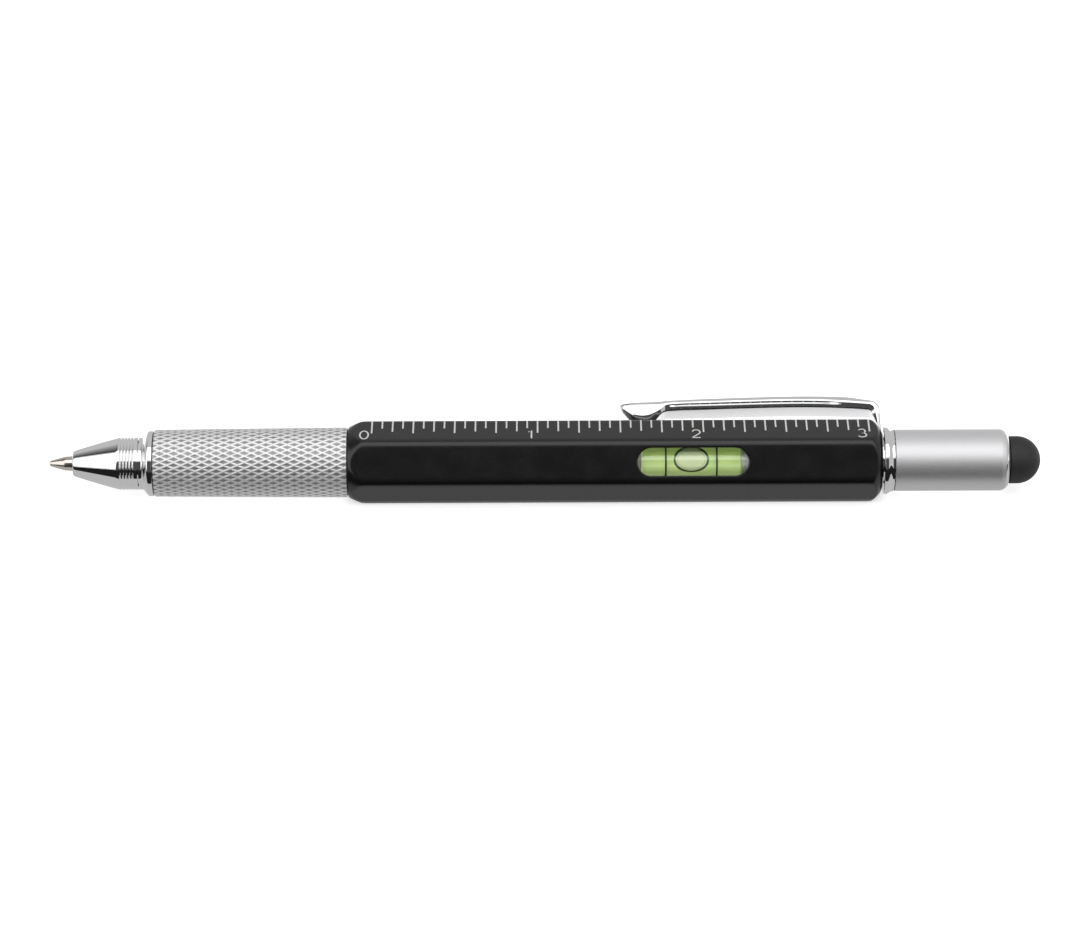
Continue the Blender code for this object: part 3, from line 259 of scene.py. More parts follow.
# Studio; a panel has a centre, a size, the point that it faces and a strength, and a card has two
# opposite corners, a tone, and for a fade its first y, its last y and its last tone
PANELS = {
    "top_light": ((0.2, -0.2875, 0.5), (1.0, 0.545), (0.2, -0.2875, 0), 1.25),
    "left_light": ((-0.55, -0.52, 0.5), (0.85, 0.9), (0, -0.52, 0.5), 1.0),
}
CARDS = {
    "flag_low": ((-0.3, -0.4, 0.001), (0.3, -0.009, 0.001), 0.015),
    "flag_front": ((-0.3, -0.4, 0), (0.3, -0.4, 0.31), 0.08),
    "shade_low": ((-0.3, -0.009, 0.001), (0.3, 0.0055, 0.001), 0.58),
    "shade_nose": ((-0.9, -0.015, 0.499), (-0.2, 0.4, 0.499), 0.01, (-0.015, 0.4, 0.55)),
}
WORLD_TONE = 0.62
FLOOR_REACH = 4.0
FLOOR_TONE = 0.8
FLOOR_GLOW = 0.6

# Meshes and materials; a crease is the angle in degrees from which an edge is sharp
LEAST_ROUGHNESS = 0.02
COLUMNS = 144
CORNER_STEPS = 6
FLARE_STEPS = 16
OVAL_STEPS = 24
SLOT_STEPS = 20
CREASE = 32


# Meshes


def on_axis(x, along, across, turn=0.0):
    """A point at a height along a radius of the pen, and across from it, turned about the axis."""
    offset = Matrix.Rotation(turn, 3, "X") @ Vector((0, across, along))
    return Vector((x, offset.y, AXIS_HEIGHT + offset.z))


def placed(name, data):
    """A new object with its data, linked into the scene."""
    obj = bpy.data.objects.new(name, data)
    bpy.context.scene.collection.objects.link(obj)
    return obj


def finished(name, bm, body, material, node=None, crease=CREASE):
    """Makes a shaded piece of a bmesh, gives it its material, and lets it ride on its body."""
    bmesh.ops.recalc_face_normals(bm, faces=bm.faces)
    mesh = bpy.data.meshes.new(name)
    bm.to_mesh(mesh)
    bm.free()
    mesh.shade_smooth()
    mesh.set_sharp_from_angle(angle=math.radians(crease))
    mesh.materials.append(material)
    obj = placed(name, mesh)
    if body:
        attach(obj, body)
    if node:
        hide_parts(node)
    return obj


def loft(rings, bm=None, ends=False, joined=False):
    """A bmesh through rings of places, where a ring of one place is a pole.

    It is closed by a face at each end, by poles, or by joining the last ring to the first.
    """
    if bm is None:
        bm = bmesh.new()
    rings = [[bm.verts.new(place) for place in ring] for ring in rings]
    if joined:
        rings.append(rings[0])
    for one, two in zip(rings, rings[1:]):
        count = max(len(one), len(two))
        for i in range(count):
            j = (i + 1) % count
            if len(one) == 1:
                bm.faces.new((one[0], two[j], two[i]))
            elif len(two) == 1:
                bm.faces.new((one[i], one[j], two[0]))
            else:
                bm.faces.new((one[i], one[j], two[j], two[i]))
    if ends:
        bm.faces.new(rings[0])
        bm.faces.new(rings[-1])
    return bm


def skin(rows, columns=COLUMNS, centre=(0, 0), angles=None):
    """A closed bmesh through rings about an axis along X, from rows of (x, radius).

    A radius is a number or a function of the turn. Where the first and last rows have no radius
    they are points on the axis, and otherwise the last ring joins the first.
    """
    turns = angles or [math.tau * i / columns for i in range(columns)]
    y = centre[0]
    z = AXIS_HEIGHT + centre[1]
    rings = []
    for x, radius in rows:
        if radius == 0:
            rings.append([(x, y, z)])
            continue
        ring = []
        for turn in turns:
            r = radius(turn) if callable(radius) else radius
            ring.append((x, y + r * math.sin(turn), z + r * math.cos(turn)))
        rings.append(ring)
    return loft(rings, joined=len(rings[0]) > 1)


def softened(*corners):
    """An outline of (x, radius) points from corners (x, radius, softness), drawn round."""
    points = []
    count = len(corners)
    for i, (x, r, soft) in enumerate(corners):
        here = Vector((x, r))
        if soft == 0:
            points.append((x, r))
            continue
        before = Vector(corners[i - 1][:2]) - here
        after = Vector(corners[(i + 1) % count][:2]) - here
        start = here + before.normalized() * min(soft, before.length / 2)
        end = here + after.normalized() * min(soft, after.length / 2)
        for k in range(CORNER_STEPS + 1):
            t = k / CORNER_STEPS
            place = start * (1 - t) ** 2 + here * 2 * t * (1 - t) + end * t * t
            points.append((place.x, place.y))
    return points


def oval(centre, radii, start, end, steps=OVAL_STEPS):
    """Points on an ellipse between two angles in degrees."""
    points = []
    for i in range(steps + 1):
        turn = math.radians(start + (end - start) * i / steps)
        along = centre[0] + radii[0] * math.cos(turn)
        points.append((along, centre[1] + radii[1] * math.sin(turn)))
    return points


def thread(x_from, x_to, root):
    """Rows of a screw thread, which rises from its root radius and fades in at both ends."""
    rows = []
    count = round((x_to - x_from) / THREAD_PITCH * THREAD_STEPS)
    for i in range(count + 1):
        x = x_from + (x_to - x_from) * i / count
        fade = min(1, min(i, count - i) / THREAD_STEPS)

        def ridge(turn, x=x, fade=fade):
            phase = (x / THREAD_PITCH - turn / math.tau) % 1
            return root + THREAD_DEPTH * fade * min(1, THREAD_FLANK * (1 - abs(2 * phase - 1)))

        rows.append((x, ridge))
    return rows


def hexagon(flat_radius):
    """The radius of a hexagon's outline as a function of the turn."""
    return lambda turn: flat_radius / math.cos((turn + SECTOR / 2) % SECTOR - SECTOR / 2)


# Materials


def feed(node, inputs):
    """Sets the inputs of a node, or links them where the value is another node's output."""
    for key, value in inputs.items():
        if isinstance(value, bpy.types.NodeSocket):
            node.id_data.links.new(value, node.inputs[key])
        else:
            node.inputs[key].default_value = value


def wire(tree, kind, inputs=None, **settings):
    """A new node with its settings and its inputs."""
    node = tree.nodes.new(kind)
    for key, value in settings.items():
        setattr(node, key, value)
    feed(node, inputs or {})
    return node


def mixed(tree, share, one, two, blend="MIX"):
    """The output of a node that mixes two colours."""
    inputs = {0: share, 6: one, 7: two}
    return wire(tree, "ShaderNodeMix", inputs, data_type="RGBA", blend_type=blend).outputs[2]


def tinted(made, ramp, glow=False):
    """Multiplies a material's colour by a ramp's colour, and lets its glow follow it."""
    shader = made.node_tree.nodes["Principled BSDF"]
    colour = shader.inputs["Base Color"].links[0].from_socket
    both = mixed(made.node_tree, 1, colour, ramp.outputs["Color"], "MULTIPLY")
    feed(shader, {"Base Color": both})
    if glow:
        feed(shader, {"Emission Color": both})


def ramp_of(tree, value, stops):
    """A colour ramp over a value, from (place, colour) stops."""
    ramp = wire(tree, "ShaderNodeValToRGB", {"Fac": value})
    keys = ramp.color_ramp.elements
    keys[0].position, keys[0].color = stops[0][0], (*stops[0][1], 1)
    keys[1].position, keys[1].color = stops[-1][0], (*stops[-1][1], 1)
    for place, colour in stops[1:-1]:
        keys.new(place).color = (*colour, 1)
    return ramp


def second_coat(obj, material, first, last, least_radius=0.0):
    """Gives a second material to the faces between two x and over a radius from the axis."""
    obj.data.materials.append(material)
    for face in obj.data.polygons:
        radius = math.hypot(face.center.y, face.center.z - AXIS_HEIGHT)
        if first < face.center.x < last and radius > least_radius:
            face.material_index = 1


def surface(name, colour, roughness, metallic=0.0, tint=0.06, rough_spread=0.05, patch=0.004,
            grain=0.00012, relief=4e-6, stretch=(1, 1, 1), **sockets):
    """A material with soft patches of tone and roughness and a fine grain in its relief."""
    made = bpy.data.materials.new(name)
    made.use_nodes = True
    tree = made.node_tree
    place = wire(tree, "ShaderNodeTexCoord").outputs["Object"]
    noise_inputs = {"Vector": place, "Scale": 1 / patch, "Detail": 3.0}
    patches = wire(tree, "ShaderNodeTexNoise", noise_inputs).outputs["Fac"]
    dark = tuple(c * (1 - tint) for c in colour)
    light = tuple(min(1, c * (1 + tint)) for c in colour)
    spread = {
        "Value": patches,
        "From Min": 0.3,
        "From Max": 0.7,
        "To Min": max(LEAST_ROUGHNESS, roughness - rough_spread),
        "To Max": roughness + rough_spread,
    }
    stretched = wire(tree, "ShaderNodeMapping", {"Vector": place, "Scale": stretch}).outputs[0]
    noise_inputs = {"Vector": stretched, "Scale": 1 / grain, "Detail": 2.0}
    fine = wire(tree, "ShaderNodeTexNoise", noise_inputs).outputs["Fac"]
    height = {"Height": fine, "Strength": 1.0, "Distance": relief}
    shader = tree.nodes["Principled BSDF"]
    feed(shader, {key.replace("_", " "): value for key, value in sockets.items()})
    feed(shader, {
        "Metallic": metallic,
        "Base Color": mixed(tree, patches, (*dark, 1), (*light, 1)),
        "Roughness": wire(tree, "ShaderNodeMapRange", spread).outputs["Result"],
        "Normal": wire(tree, "ShaderNodeBump", height).outputs["Normal"],
    })
    return made


BLACK = surface(
    "black_anodised", (0.0032, 0.0032, 0.0034), 0.26, tint=0.12, rough_spread=0.03, patch=0.003,
    grain=7e-5, relief=1.6e-6,
)
# Painted highlight: a lighter grey metal for the window's cut walls and chamfer, so that its rim
# looks lit
RIM_HIGHLIGHT = surface(
    "window_rim_highlight", (0.1, 0.1, 0.1), 0.35, 1.0, tint=0.3, patch=0.0006, grain=7e-5, relief=1.6e-6,
)
CHROME = surface(
    "chrome", (0.78, 0.78, 0.79), 0.06, 1.0, tint=0.02, rough_spread=0.02, patch=0.006,
    grain=0.0004, relief=4e-7,
)
SILVER = surface(
    "knurled_silver", (0.95, 0.95, 0.95), 0.54, 0.85, tint=0.1, rough_spread=0.06, patch=0.0003,
    relief=1.4e-5,
)
SATIN = surface(
    "satin_aluminium", (0.72, 0.72, 0.73), 0.55, 1.0, tint=0.07, patch=0.00022, grain=0.00016,
    relief=1.4e-5,
)
STEEL = surface(
    "tip_steel", (0.66, 0.6, 0.55), 0.2, 1.0, patch=0.0012, grain=6e-5, relief=1e-6,
    stretch=(1, 0.2, 0.2),
)
TOOL_STEEL = surface(
    "tool_steel", (0.42, 0.41, 0.4), 0.3, 1.0, tint=0.12, rough_spread=0.08, patch=0.002,
    grain=8e-5, relief=3e-6, stretch=(0.1, 1, 1),
)
BRASS = surface(
    "brass", (0.78, 0.58, 0.28), 0.26, 1.0, tint=0.08, rough_spread=0.06, patch=0.003,
    grain=8e-5, relief=2e-6, stretch=(1, 0.1, 0.1),
)
RUBBER = surface("stylus_rubber", (0.014, 0.0138, 0.0138), 0.62, tint=0.15, patch=0.002, grain=9e-5)
WHITE = surface(
    "white_plastic", (0.8, 0.81, 0.78), 0.42, tint=0.02, patch=0.003, grain=0.0002, relief=2e-6,
)
BAND = surface("band_black", (0.01, 0.01, 0.01), 0.35, tint=0.1, patch=0.002, relief=1e-6)
INK = surface("ruler_ink", (0.6, 0.6, 0.58), 0.5, tint=0.12, patch=0.0004, grain=5e-5, relief=1e-6)
NICKEL = surface(
    "nickel", (0.6, 0.58, 0.53), 0.22, 1.0, tint=0.04, patch=0.002, grain=0.0002, relief=1e-6,
)
CLEAR = surface(
    "clear_plastic", (0.99, 1.0, 0.98), 0.03, tint=0.005, rough_spread=0.01, grain=0.0006,
    relief=1e-7, Transmission_Weight=1.0, IOR=1.45, Coat_Weight=0.35, Coat_IOR=1.6,
    Coat_Roughness=0.03,
)
# Painted light: the frosted end glows faintly, a stand-in for light passing through the plastic
FROSTED = surface(
    "frosted_plastic", (0.74, 0.76, 0.68), 0.35, tint=0.2, patch=0.0005, grain=0.0001,
    relief=2e-6, stretch=(1, 0.1, 0.1), Emission_Color=(0.7, 0.72, 0.62, 1),
    Emission_Strength=0.2,
)
# Painted light: the liquid glows, a stand-in for the light that passes through it from the window
LIQUID = surface(
    "level_liquid", (0.66, 0.86, 0.33), 0.04, tint=0.05, rough_spread=0.01, patch=0.002,
    grain=0.0006, relief=1e-7, IOR=1.4, Emission_Strength=0.28,
)
# Painted light: the bubble glows, a stand-in for the light that passes through it
AIR = surface(
    "bubble_air", (0.72, 0.82, 0.48), 0.04, tint=0.03, rough_spread=0.01, patch=0.001,
    grain=0.0006, relief=1e-7, IOR=1.4, Emission_Strength=0.22,
)


# Barrel and ruler


def smooth_min(a, b, width):
    """The smaller of two values, with a round blend where they are close."""
    near = max(width - abs(a - b), 0) / width
    return min(a, b) - near * near * width / 4


def rounded_hexagon(turn):
    """The radius of the barrel's outline, flats with round edges, at each turn."""
    off = abs((turn + SECTOR / 2) % SECTOR - SECTOR / 2)
    if off <= math.atan2(HALF_FLAT, FLAT_RADIUS):
        return FLAT_RADIUS / math.cos(off)
    centre = (FLAT_RADIUS - EDGE_RADIUS) / math.cos(SECTOR / 2)
    away = SECTOR / 2 - off
    return centre * math.cos(away) + math.sqrt(EDGE_RADIUS**2 - (centre * math.sin(away)) ** 2)


def barrel_turns():
    """The turns of the barrel's columns, close together round its edges."""
    turns = []
    for side in range(HEX_SIDES):
        for column in range(SIDE_COLUMNS):
            share = column / SIDE_COLUMNS
            eased = share - SIDE_EASE * math.sin(4 * math.pi * share) / (4 * math.pi)
            turns.append((side + eased) * SECTOR)
    return turns


def turned_end(face, inward, shape, rim_steps):
    """Rows of a barrel end, from its face over its rim and its curve to the full section."""
    length, drop, power = shape
    full = rounded_hexagon(SECTOR / 2) + LATHE_BLEND / 4

    def turned_row(depth, radius):
        return (
            face + inward * depth,
            lambda turn: smooth_min(rounded_hexagon(turn), radius, LATHE_BLEND),
        )

    rows = [(face, full - drop - RIM_RADIUS)]
    for i in rim_steps:
        turn = math.pi / 2 * i / CORNER_STEPS
        radius = full - drop - RIM_RADIUS * (1 - math.cos(turn))
        rows.append(turned_row(RIM_RADIUS * (1 - math.sin(turn)), radius))
    for i in range(END_STEPS + 1):
        depth = RIM_RADIUS + (length - RIM_RADIUS) * i / END_STEPS
        rows.append(turned_row(depth, full - drop * max(0, 1 - depth / length) ** power))
    for past in (RIM_RADIUS, 3 * RIM_RADIUS):
        rows.append((face + inward * (length + past), rounded_hexagon))
    return rows


def barrel_rows():
    """Rows of the barrel: its outside from front to rear, then its bore back to the front."""
    front = turned_end(BARREL_FRONT, 1, FRONT_TURNED, range(CORNER_STEPS - 2, -1, -1))
    rear = turned_end(BARREL_REAR, -1, REAR_TURNED, range(CORNER_STEPS - 1, 0, -1))
    return front + rear[::-1] + [(BARREL_REAR, BORE_RADIUS), (BARREL_FRONT, BORE_RADIUS)]


def slot_outline(length, width):
    """Points round a full-round slot, as (along, across)."""
    half = width / 2
    end = oval((length / 2 - half, 0), (half, half), -90, 90, SLOT_STEPS)
    return end + [(-along, -across) for along, across in end]


def window_cutter():
    """A slot with straight walls that flares at the flat, to leave a chamfered window."""
    levels = (
        (BORE_RADIUS / 2, 0),
        (FLAT_RADIUS - WINDOW_CHAMFER, 0),
        (FLAT_RADIUS, WINDOW_CHAMFER),
        (FLAT_RADIUS + WINDOW_CHAMFER, 2 * WINDOW_CHAMFER),
    )
    rings = []
    for height, spread in levels:
        outline = slot_outline(WINDOW_LENGTH + 2 * spread, WINDOW_WIDTH + 2 * spread)
        ring = [on_axis(WINDOW_CENTRE + x, height, across, WINDOW_TURN) for x, across in outline]
        rings.append(ring)
    # The cut walls and chamfer take this material, a painted highlight round the window's rim
    return finished("window_cutter", loft(rings, ends=True), None, RIM_HIGHLIGHT)


def notch_cutter():
    """A block that leaves the notch of the clip's leg in the barrel's rear face."""
    half_length = WASHER_SINK + SEAT_GAP
    half_width = CLIP_LEG_WIDTH / 2 + SEAT_GAP
    bm = bmesh.new()
    bmesh.ops.create_cube(bm, size=1)
    for vert in bm.verts:
        x = BARREL_REAR + 2 * half_length * vert.co.x
        height = FLAT_RADIUS * (1 + vert.co.z)
        vert.co = on_axis(x, height, 2 * half_width * vert.co.y, CLIP_TURN)
    return finished("notch_cutter", bm, None, BLACK)


def cut(obj, cutter):
    """Takes the cutter's shape out of a piece, with its material on the cut, and removes it."""
    modifier = obj.modifiers.new("Cut", "BOOLEAN")
    modifier.operation = "DIFFERENCE"
    modifier.solver = "EXACT"
    modifier.material_mode = "TRANSFER"
    modifier.object = cutter
    bpy.context.view_layer.update()
    shaped = obj.evaluated_get(bpy.context.evaluated_depsgraph_get())
    mesh = bpy.data.meshes.new_from_object(shaped)
    obj.modifiers.clear()
    obj.data = mesh
    mesh.set_sharp_from_angle(angle=math.radians(CREASE))
    bpy.data.objects.remove(cutter)


def barrel():
    """The black barrel: a rounded hexagon turned at its ends, with its window and bore."""
    bm = skin(barrel_rows(), angles=barrel_turns())
    obj = finished("barrel_body", bm, "barrel", BLACK, "hex_barrel")
    cut(obj, window_cutter())
    cut(obj, notch_cutter())
    normals = obj.modifiers.new("Normals", "WEIGHTED_NORMAL")
    normals.keep_sharp = True


def ink_place(across, lift):
    """A point (y, z) on the print, from the middle of the ruler flat towards the back."""
    if across <= HALF_FLAT:
        return across, FLAT_RADIUS + lift
    turn = (across - HALF_FLAT) / EDGE_RADIUS
    radius = EDGE_RADIUS + lift
    y = HALF_FLAT + radius * math.sin(turn)
    return y, FLAT_RADIUS - EDGE_RADIUS + radius * math.cos(turn)


def strip(bm, path):
    """A thin strip of ink along pairs of (x, across) places on the ruler flat."""
    rings = []
    for one, two in path:
        ring = []
        for (x, across), lift in ((one, 1), (two, 1), (two, -1), (one, -1)):
            y, z = ink_place(across, lift * INK_THICKNESS)
            ring.append((x, y, AXIS_HEIGHT + z))
        rings.append(ring)
    loft(rings, bm, ends=True)


def stroke(bm, points):
    """A printed line of even width through (x, across) points."""
    path = []
    count = len(points)
    for i, point in enumerate(points):
        here = Vector(point)
        along = Vector(points[min(i + 1, count - 1)]) - Vector(points[max(i - 1, 0)])
        along.normalize()
        aside = Vector((-along.y, along.x)) * DIGIT_STROKE / 2
        path.append((here - aside, here + aside))
    strip(bm, path)


# Lines of the plain digits from 0 to 3, as shares of a digit's width and height
DIGIT_LINES = (
    [oval((0.5, 0.5), (0.5, 0.5), 0, 360, 40)],
    [[(0.3, 0.8), (0.66, 1), (0.66, 0)]],
    [oval((0.5, 0.7), (0.46, 0.3), 165, -35) + [(0, 0)], [(0, 0), (1, 0)]],
    [oval((0.46, 0.745), (0.4, 0.255), 150, -90), oval((0.46, 0.26), (0.5, 0.26), 90, -150)],
)


def ruler():
    """The printed inch rule: a tick every sixteenth and a number every inch."""
    bm = bmesh.new()
    back = HALF_FLAT + EDGE_RADIUS * TICK_BACK_TURN
    for i in range(TICK_COUNT):
        length = TICK_LENGTHS[i % len(TICK_LENGTHS)]
        x = TICK_FIRST + i * TICK_STEP
        places = [back - (back - HALF_FLAT) * k / TICK_STEPS for k in range(TICK_STEPS + 1)]
        places.append(HALF_FLAT + EDGE_RADIUS * TICK_LENGTH_TURN - length)
        strip(bm, [((x - TICK_WIDTH / 2, s), (x + TICK_WIDTH / 2, s)) for s in places])
    foot = DIGIT_FOOT - HALF_FLAT
    for inch, lines in enumerate(DIGIT_LINES):
        left = TICK_FIRST + inch * INCH - DIGIT_GAP - DIGIT_WIDTH
        for line in lines:
            stroke(bm, [(left + DIGIT_WIDTH * w, foot + DIGIT_HEIGHT * h) for w, h in line])
    finished("ruler_print", bm, "barrel", INK)


# Nose, collar, grip and refill


def nose():
    """The chrome nose: a bulged cone, ring grooves, a plain band and a screwed spigot."""
    reach = 2 * NOSE_EDGE
    edge = softened(
        (NOSE_FRONT, NOSE_MOUTH_RADIUS, 0),
        (NOSE_FRONT, NOSE_FACE_RADIUS, NOSE_EDGE),
        (NOSE_FRONT + reach, NOSE_FACE_RADIUS + reach * NOSE_FACE_SLOPE, 0),
    )
    rows = edge[:-1]
    start = reach / NOSE_CONE_LENGTH
    for i in range(NOSE_STEPS + 1):
        part = start + (1 - start) * i / NOSE_STEPS
        radius = NOSE_FACE_RADIUS + (NOSE_RADIUS - NOSE_FACE_RADIUS) * part
        radius += NOSE_BULGE * 4 * part * (1 - part)
        rows.append((NOSE_FRONT + NOSE_CONE_LENGTH * part, radius))
    cone_rear = NOSE_FRONT + NOSE_CONE_LENGTH
    corners = [(cone_rear + NOSE_GROOVE_EDGE, NOSE_RADIUS, 0)]
    for i in range(1, NOSE_GROOVES + 1):
        end = cone_rear + i * NOSE_GROOVE_PITCH
        middle = end - NOSE_GROOVE_WIDTH / 2
        corners += [
            (end - NOSE_GROOVE_WIDTH, NOSE_RADIUS, NOSE_GROOVE_EDGE),
            (middle, NOSE_RADIUS - NOSE_GROOVE_DEPTH, NOSE_GROOVE_EDGE),
            (end, NOSE_RADIUS, NOSE_GROOVE_EDGE),
        ]
    rear = COLLAR_FRONT - FACE_GAP
    root = SPIGOT_RADIUS - THREAD_DEPTH
    corners += [
        (rear - 3 * FACE_GAP, NOSE_RADIUS, 0),
        (rear, NOSE_RADIUS, FACE_GAP / 2),
        (rear, root, 0),
    ]
    rows += softened(*corners)
    rows += thread(rear + FACE_GAP, SPIGOT_REAR - FACE_GAP, root)
    rows += [
        (SPIGOT_REAR, root),
        (SPIGOT_REAR, NOSE_BORE_RADIUS),
        (NOSE_FRONT + NOSE_CONE_LENGTH / 2, NOSE_MOUTH_RADIUS),
    ]
    finished("nose_shell", skin(rows), "nose", CHROME, "nose_cone")


def flare(start, length, first, last):
    """Rows of an S-curve from one radius to another."""
    rows = []
    for i in range(FLARE_STEPS + 1):
        part = i / FLARE_STEPS
        rows.append((start + length * part, first + (last - first) * part * part * (3 - 2 * part)))
    return rows


def front_collar():
    """The flared chrome ring in front of the grip."""
    start = COLLAR_FRONT + FRONT_FLARE_START
    rows = [(COLLAR_FRONT, NOSE_RADIUS)]
    rows += flare(start, FRONT_FLARE_LENGTH, NOSE_RADIUS, COLLAR_RADIUS)
    rows += softened(
        (start + FRONT_FLARE_LENGTH + NOSE_EDGE / 2, COLLAR_RADIUS, 0),
        (COLLAR_REAR, COLLAR_RADIUS, COLLAR_EDGE),
        (COLLAR_REAR, SPIGOT_RADIUS + FACE_GAP, 0),
    )
    rows.append((COLLAR_FRONT, SPIGOT_RADIUS + FACE_GAP))
    finished("collar_ring", skin(rows), "grip", CHROME, "front_collar")


def knurl_rise(x, turn):
    """How far the knurled skin stands over its pits, from 0 to 1: two families of ridges."""
    along = x / KNURL_PITCH
    around = KNURL_STARTS * turn / math.tau
    off = min(abs((u + 0.5) % 1 - 0.5) for u in (along + around, along - around))
    return (1 - 2 * off) ** KNURL_SHARPNESS


def grip():
    """The knurled grip, a slim cone, with end chamfers, a rear spigot and a bore."""
    rear = BARREL_FRONT - FACE_GAP
    length = rear - GRIP_FRONT
    knurl_length = length - 2 * GRIP_CHAMFER
    count = round(knurl_length / KNURL_PITCH * KNURL_STEPS)

    def crest(x):
        return GRIP_RADIUS - GRIP_TAPER * (rear - x) / length

    rows = [(GRIP_FRONT, crest(GRIP_FRONT) - GRIP_CHAMFER_DROP)]
    for i in range(count + 1):
        x = GRIP_FRONT + GRIP_CHAMFER + knurl_length * i / count

        def radius(turn, x=x):
            drop = 1 - knurl_rise(x - GRIP_FRONT, turn)
            place = Vector((x, crest(x) * math.sin(turn), crest(x) * math.cos(turn))) / PIT_GRAIN
            return crest(x) - (KNURL_DEPTH + PIT_RELIEF * noise.noise(place)) * drop

        rows.append((x, radius))
    rows += [
        (rear, crest(rear) - GRIP_CHAMFER_DROP),
        (rear, GRIP_SPIGOT_RADIUS),
        (GRIP_SPIGOT_REAR, GRIP_SPIGOT_RADIUS),
        (GRIP_SPIGOT_REAR, GRIP_SPIGOT_RADIUS - GRIP_SPIGOT_WALL),
        (rear, GRIP_BORE_RADIUS),
        (SPIGOT_REAR + FACE_GAP, GRIP_BORE_RADIUS),
        (SPIGOT_REAR + FACE_GAP, SPIGOT_RADIUS + FACE_GAP),
        (GRIP_FRONT, SPIGOT_RADIUS + FACE_GAP),
    ]
    bm = skin(rows, KNURL_STARTS * KNURL_STEPS)
    obj = finished("grip_knurl", bm, "grip", SILVER, "knurled_grip",
                   KNURL_CREASE)
    # Painted shade: each point keeps its rise, and the knurl's colour is darkened where it sinks
    # into a pit
    rises = obj.data.attributes.new("rise", "FLOAT", "POINT")
    pit_floor = GRIP_RADIUS - GRIP_TAPER - 2 * KNURL_DEPTH
    for vert, value in zip(obj.data.vertices, rises.data):
        turn = math.atan2(vert.co.y, vert.co.z - AXIS_HEIGHT)
        outside = math.hypot(vert.co.y, vert.co.z - AXIS_HEIGHT) > pit_floor
        value.value = knurl_rise(vert.co.x - GRIP_FRONT, turn) if outside else 1
    tree = SILVER.node_tree
    rise = wire(tree, "ShaderNodeAttribute", attribute_name="rise").outputs["Fac"]
    tinted(SILVER, ramp_of(tree, rise, KNURL_PIT_SHADE_STOPS))


def refill():
    """The writing tip with its cone and its ball, and the tube behind it."""
    rows = softened(
        (TIP_FRONT, BALL_RADIUS, 0),
        (TIP_FRONT, TIP_LIP_RADIUS, TIP_LIP_EDGE),
        (TIP_FRONT + TIP_SHOULDER, TIP_SHOULDER_RADIUS, TIP_SHOULDER_EDGE),
        (TIP_FRONT + TIP_SHANK, REFILL_RADIUS, TIP_SHANK_EDGE),
        (TIP_REAR, REFILL_RADIUS, 0),
    )
    rows.append((TIP_REAR, BALL_RADIUS))
    finished("tip_cone", skin(rows, REFILL_COLUMNS), "refill", STEEL, "refill_tip")
    middle = (BALL_FRONT + BALL_REAR) / 2
    ball = oval((middle, 0), (BALL_RADIUS, BALL_RADIUS), 180, 0, BALL_STEPS)
    ball[0] = (BALL_FRONT, 0)
    ball[-1] = (BALL_REAR, 0)
    finished("tip_ball", skin(ball, BALL_COLUMNS), "refill", STEEL, "writing_ball")
    tube = softened(
        (TUBE_FRONT, TUBE_RADIUS, TUBE_EDGE),
        (TUBE_REAR, TUBE_RADIUS, TUBE_EDGE),
        (TUBE_REAR, BALL_RADIUS, 0),
        (TUBE_FRONT, BALL_RADIUS, 0),
    )
    finished("ink_tube", skin(tube, REFILL_COLUMNS), "refill", BRASS, "refill_tube")


# Rear collar, cap and stylus


def rear_collar():
    """The flared chrome collar with the cap's thread and the six-sided socket of the bit."""
    flange = WASHER_REAR + FACE_GAP
    rear = flange + COLLAR_LENGTH
    bit_seat = BIT_FRONT - BIT_END_PLAY
    magnet_seat = MAGNET_FRONT - MAGNET_END_PLAY
    rows = [(REAR_COLLAR_FRONT, 0), (REAR_COLLAR_FRONT, COLLAR_ROOT_RADIUS)]
    rows += thread(REAR_COLLAR_FRONT + FACE_GAP, flange - FACE_GAP, COLLAR_ROOT_RADIUS)
    rows += softened(
        (flange, COLLAR_ROOT_RADIUS, 0),
        (flange, REAR_COLLAR_RADIUS, COLLAR_EDGE),
        (flange + COLLAR_LAND, REAR_COLLAR_RADIUS, 0),
    )
    start = flange + COLLAR_FLARE_START
    rows += flare(start, COLLAR_FLARE_LENGTH, REAR_COLLAR_RADIUS, COLLAR_WAIST)
    rows += [(rear, COLLAR_WAIST), (rear, CAP_ROOT_RADIUS)]
    rows += thread(rear + FACE_GAP, REAR_COLLAR_REAR - FACE_GAP, CAP_ROOT_RADIUS)
    socket = hexagon(BIT_FLAT_RADIUS)
    rows += [
        (REAR_COLLAR_REAR, CAP_ROOT_RADIUS - FACE_GAP / 2),
        (REAR_COLLAR_REAR, lambda turn: socket(turn) + FACE_GAP),
        (REAR_COLLAR_REAR - FACE_GAP, socket),
        (bit_seat, socket),
        (bit_seat, MAGNET_HOLE_RADIUS),
        (magnet_seat, MAGNET_HOLE_RADIUS),
        (magnet_seat, 0),
    ]
    finished("collar_flare", skin(rows), "barrel", CHROME, "rear_collar")


def cap():
    """The satin cap, a drawn tube with a rounded shoulder and a turned face round the stylus."""
    rows = softened(
        (CAP_FRONT, CAP_RADIUS, FACE_GAP / 2),
        (CAP_REAR - CAP_SHOULDER, CAP_RADIUS, FACE_GAP),
        (CAP_REAR - CAP_KNEE, CAP_KNEE_RADIUS, CAP_SHOULDER / 4),
        (CAP_REAR, CAP_END_RADIUS, CAP_SHOULDER / 6),
        (CAP_REAR, CAP_MOUTH_RADIUS, 0),
        (CAP_REAR - CAP_END_WALL, CAP_MOUTH_RADIUS, 0),
        (CAP_REAR - CAP_END_WALL, CAP_BORE, 0),
        (CAP_FRONT, CAP_BORE, 0),
    )
    tube = finished("cap_tube", skin(rows), "cap", SATIN, "cap_sleeve")
    ring_front = CAP_REAR - CAP_RING
    second_coat(tube, CHROME, ring_front, CAP_REAR + FACE_GAP, CAP_END_RADIUS - FACE_GAP)


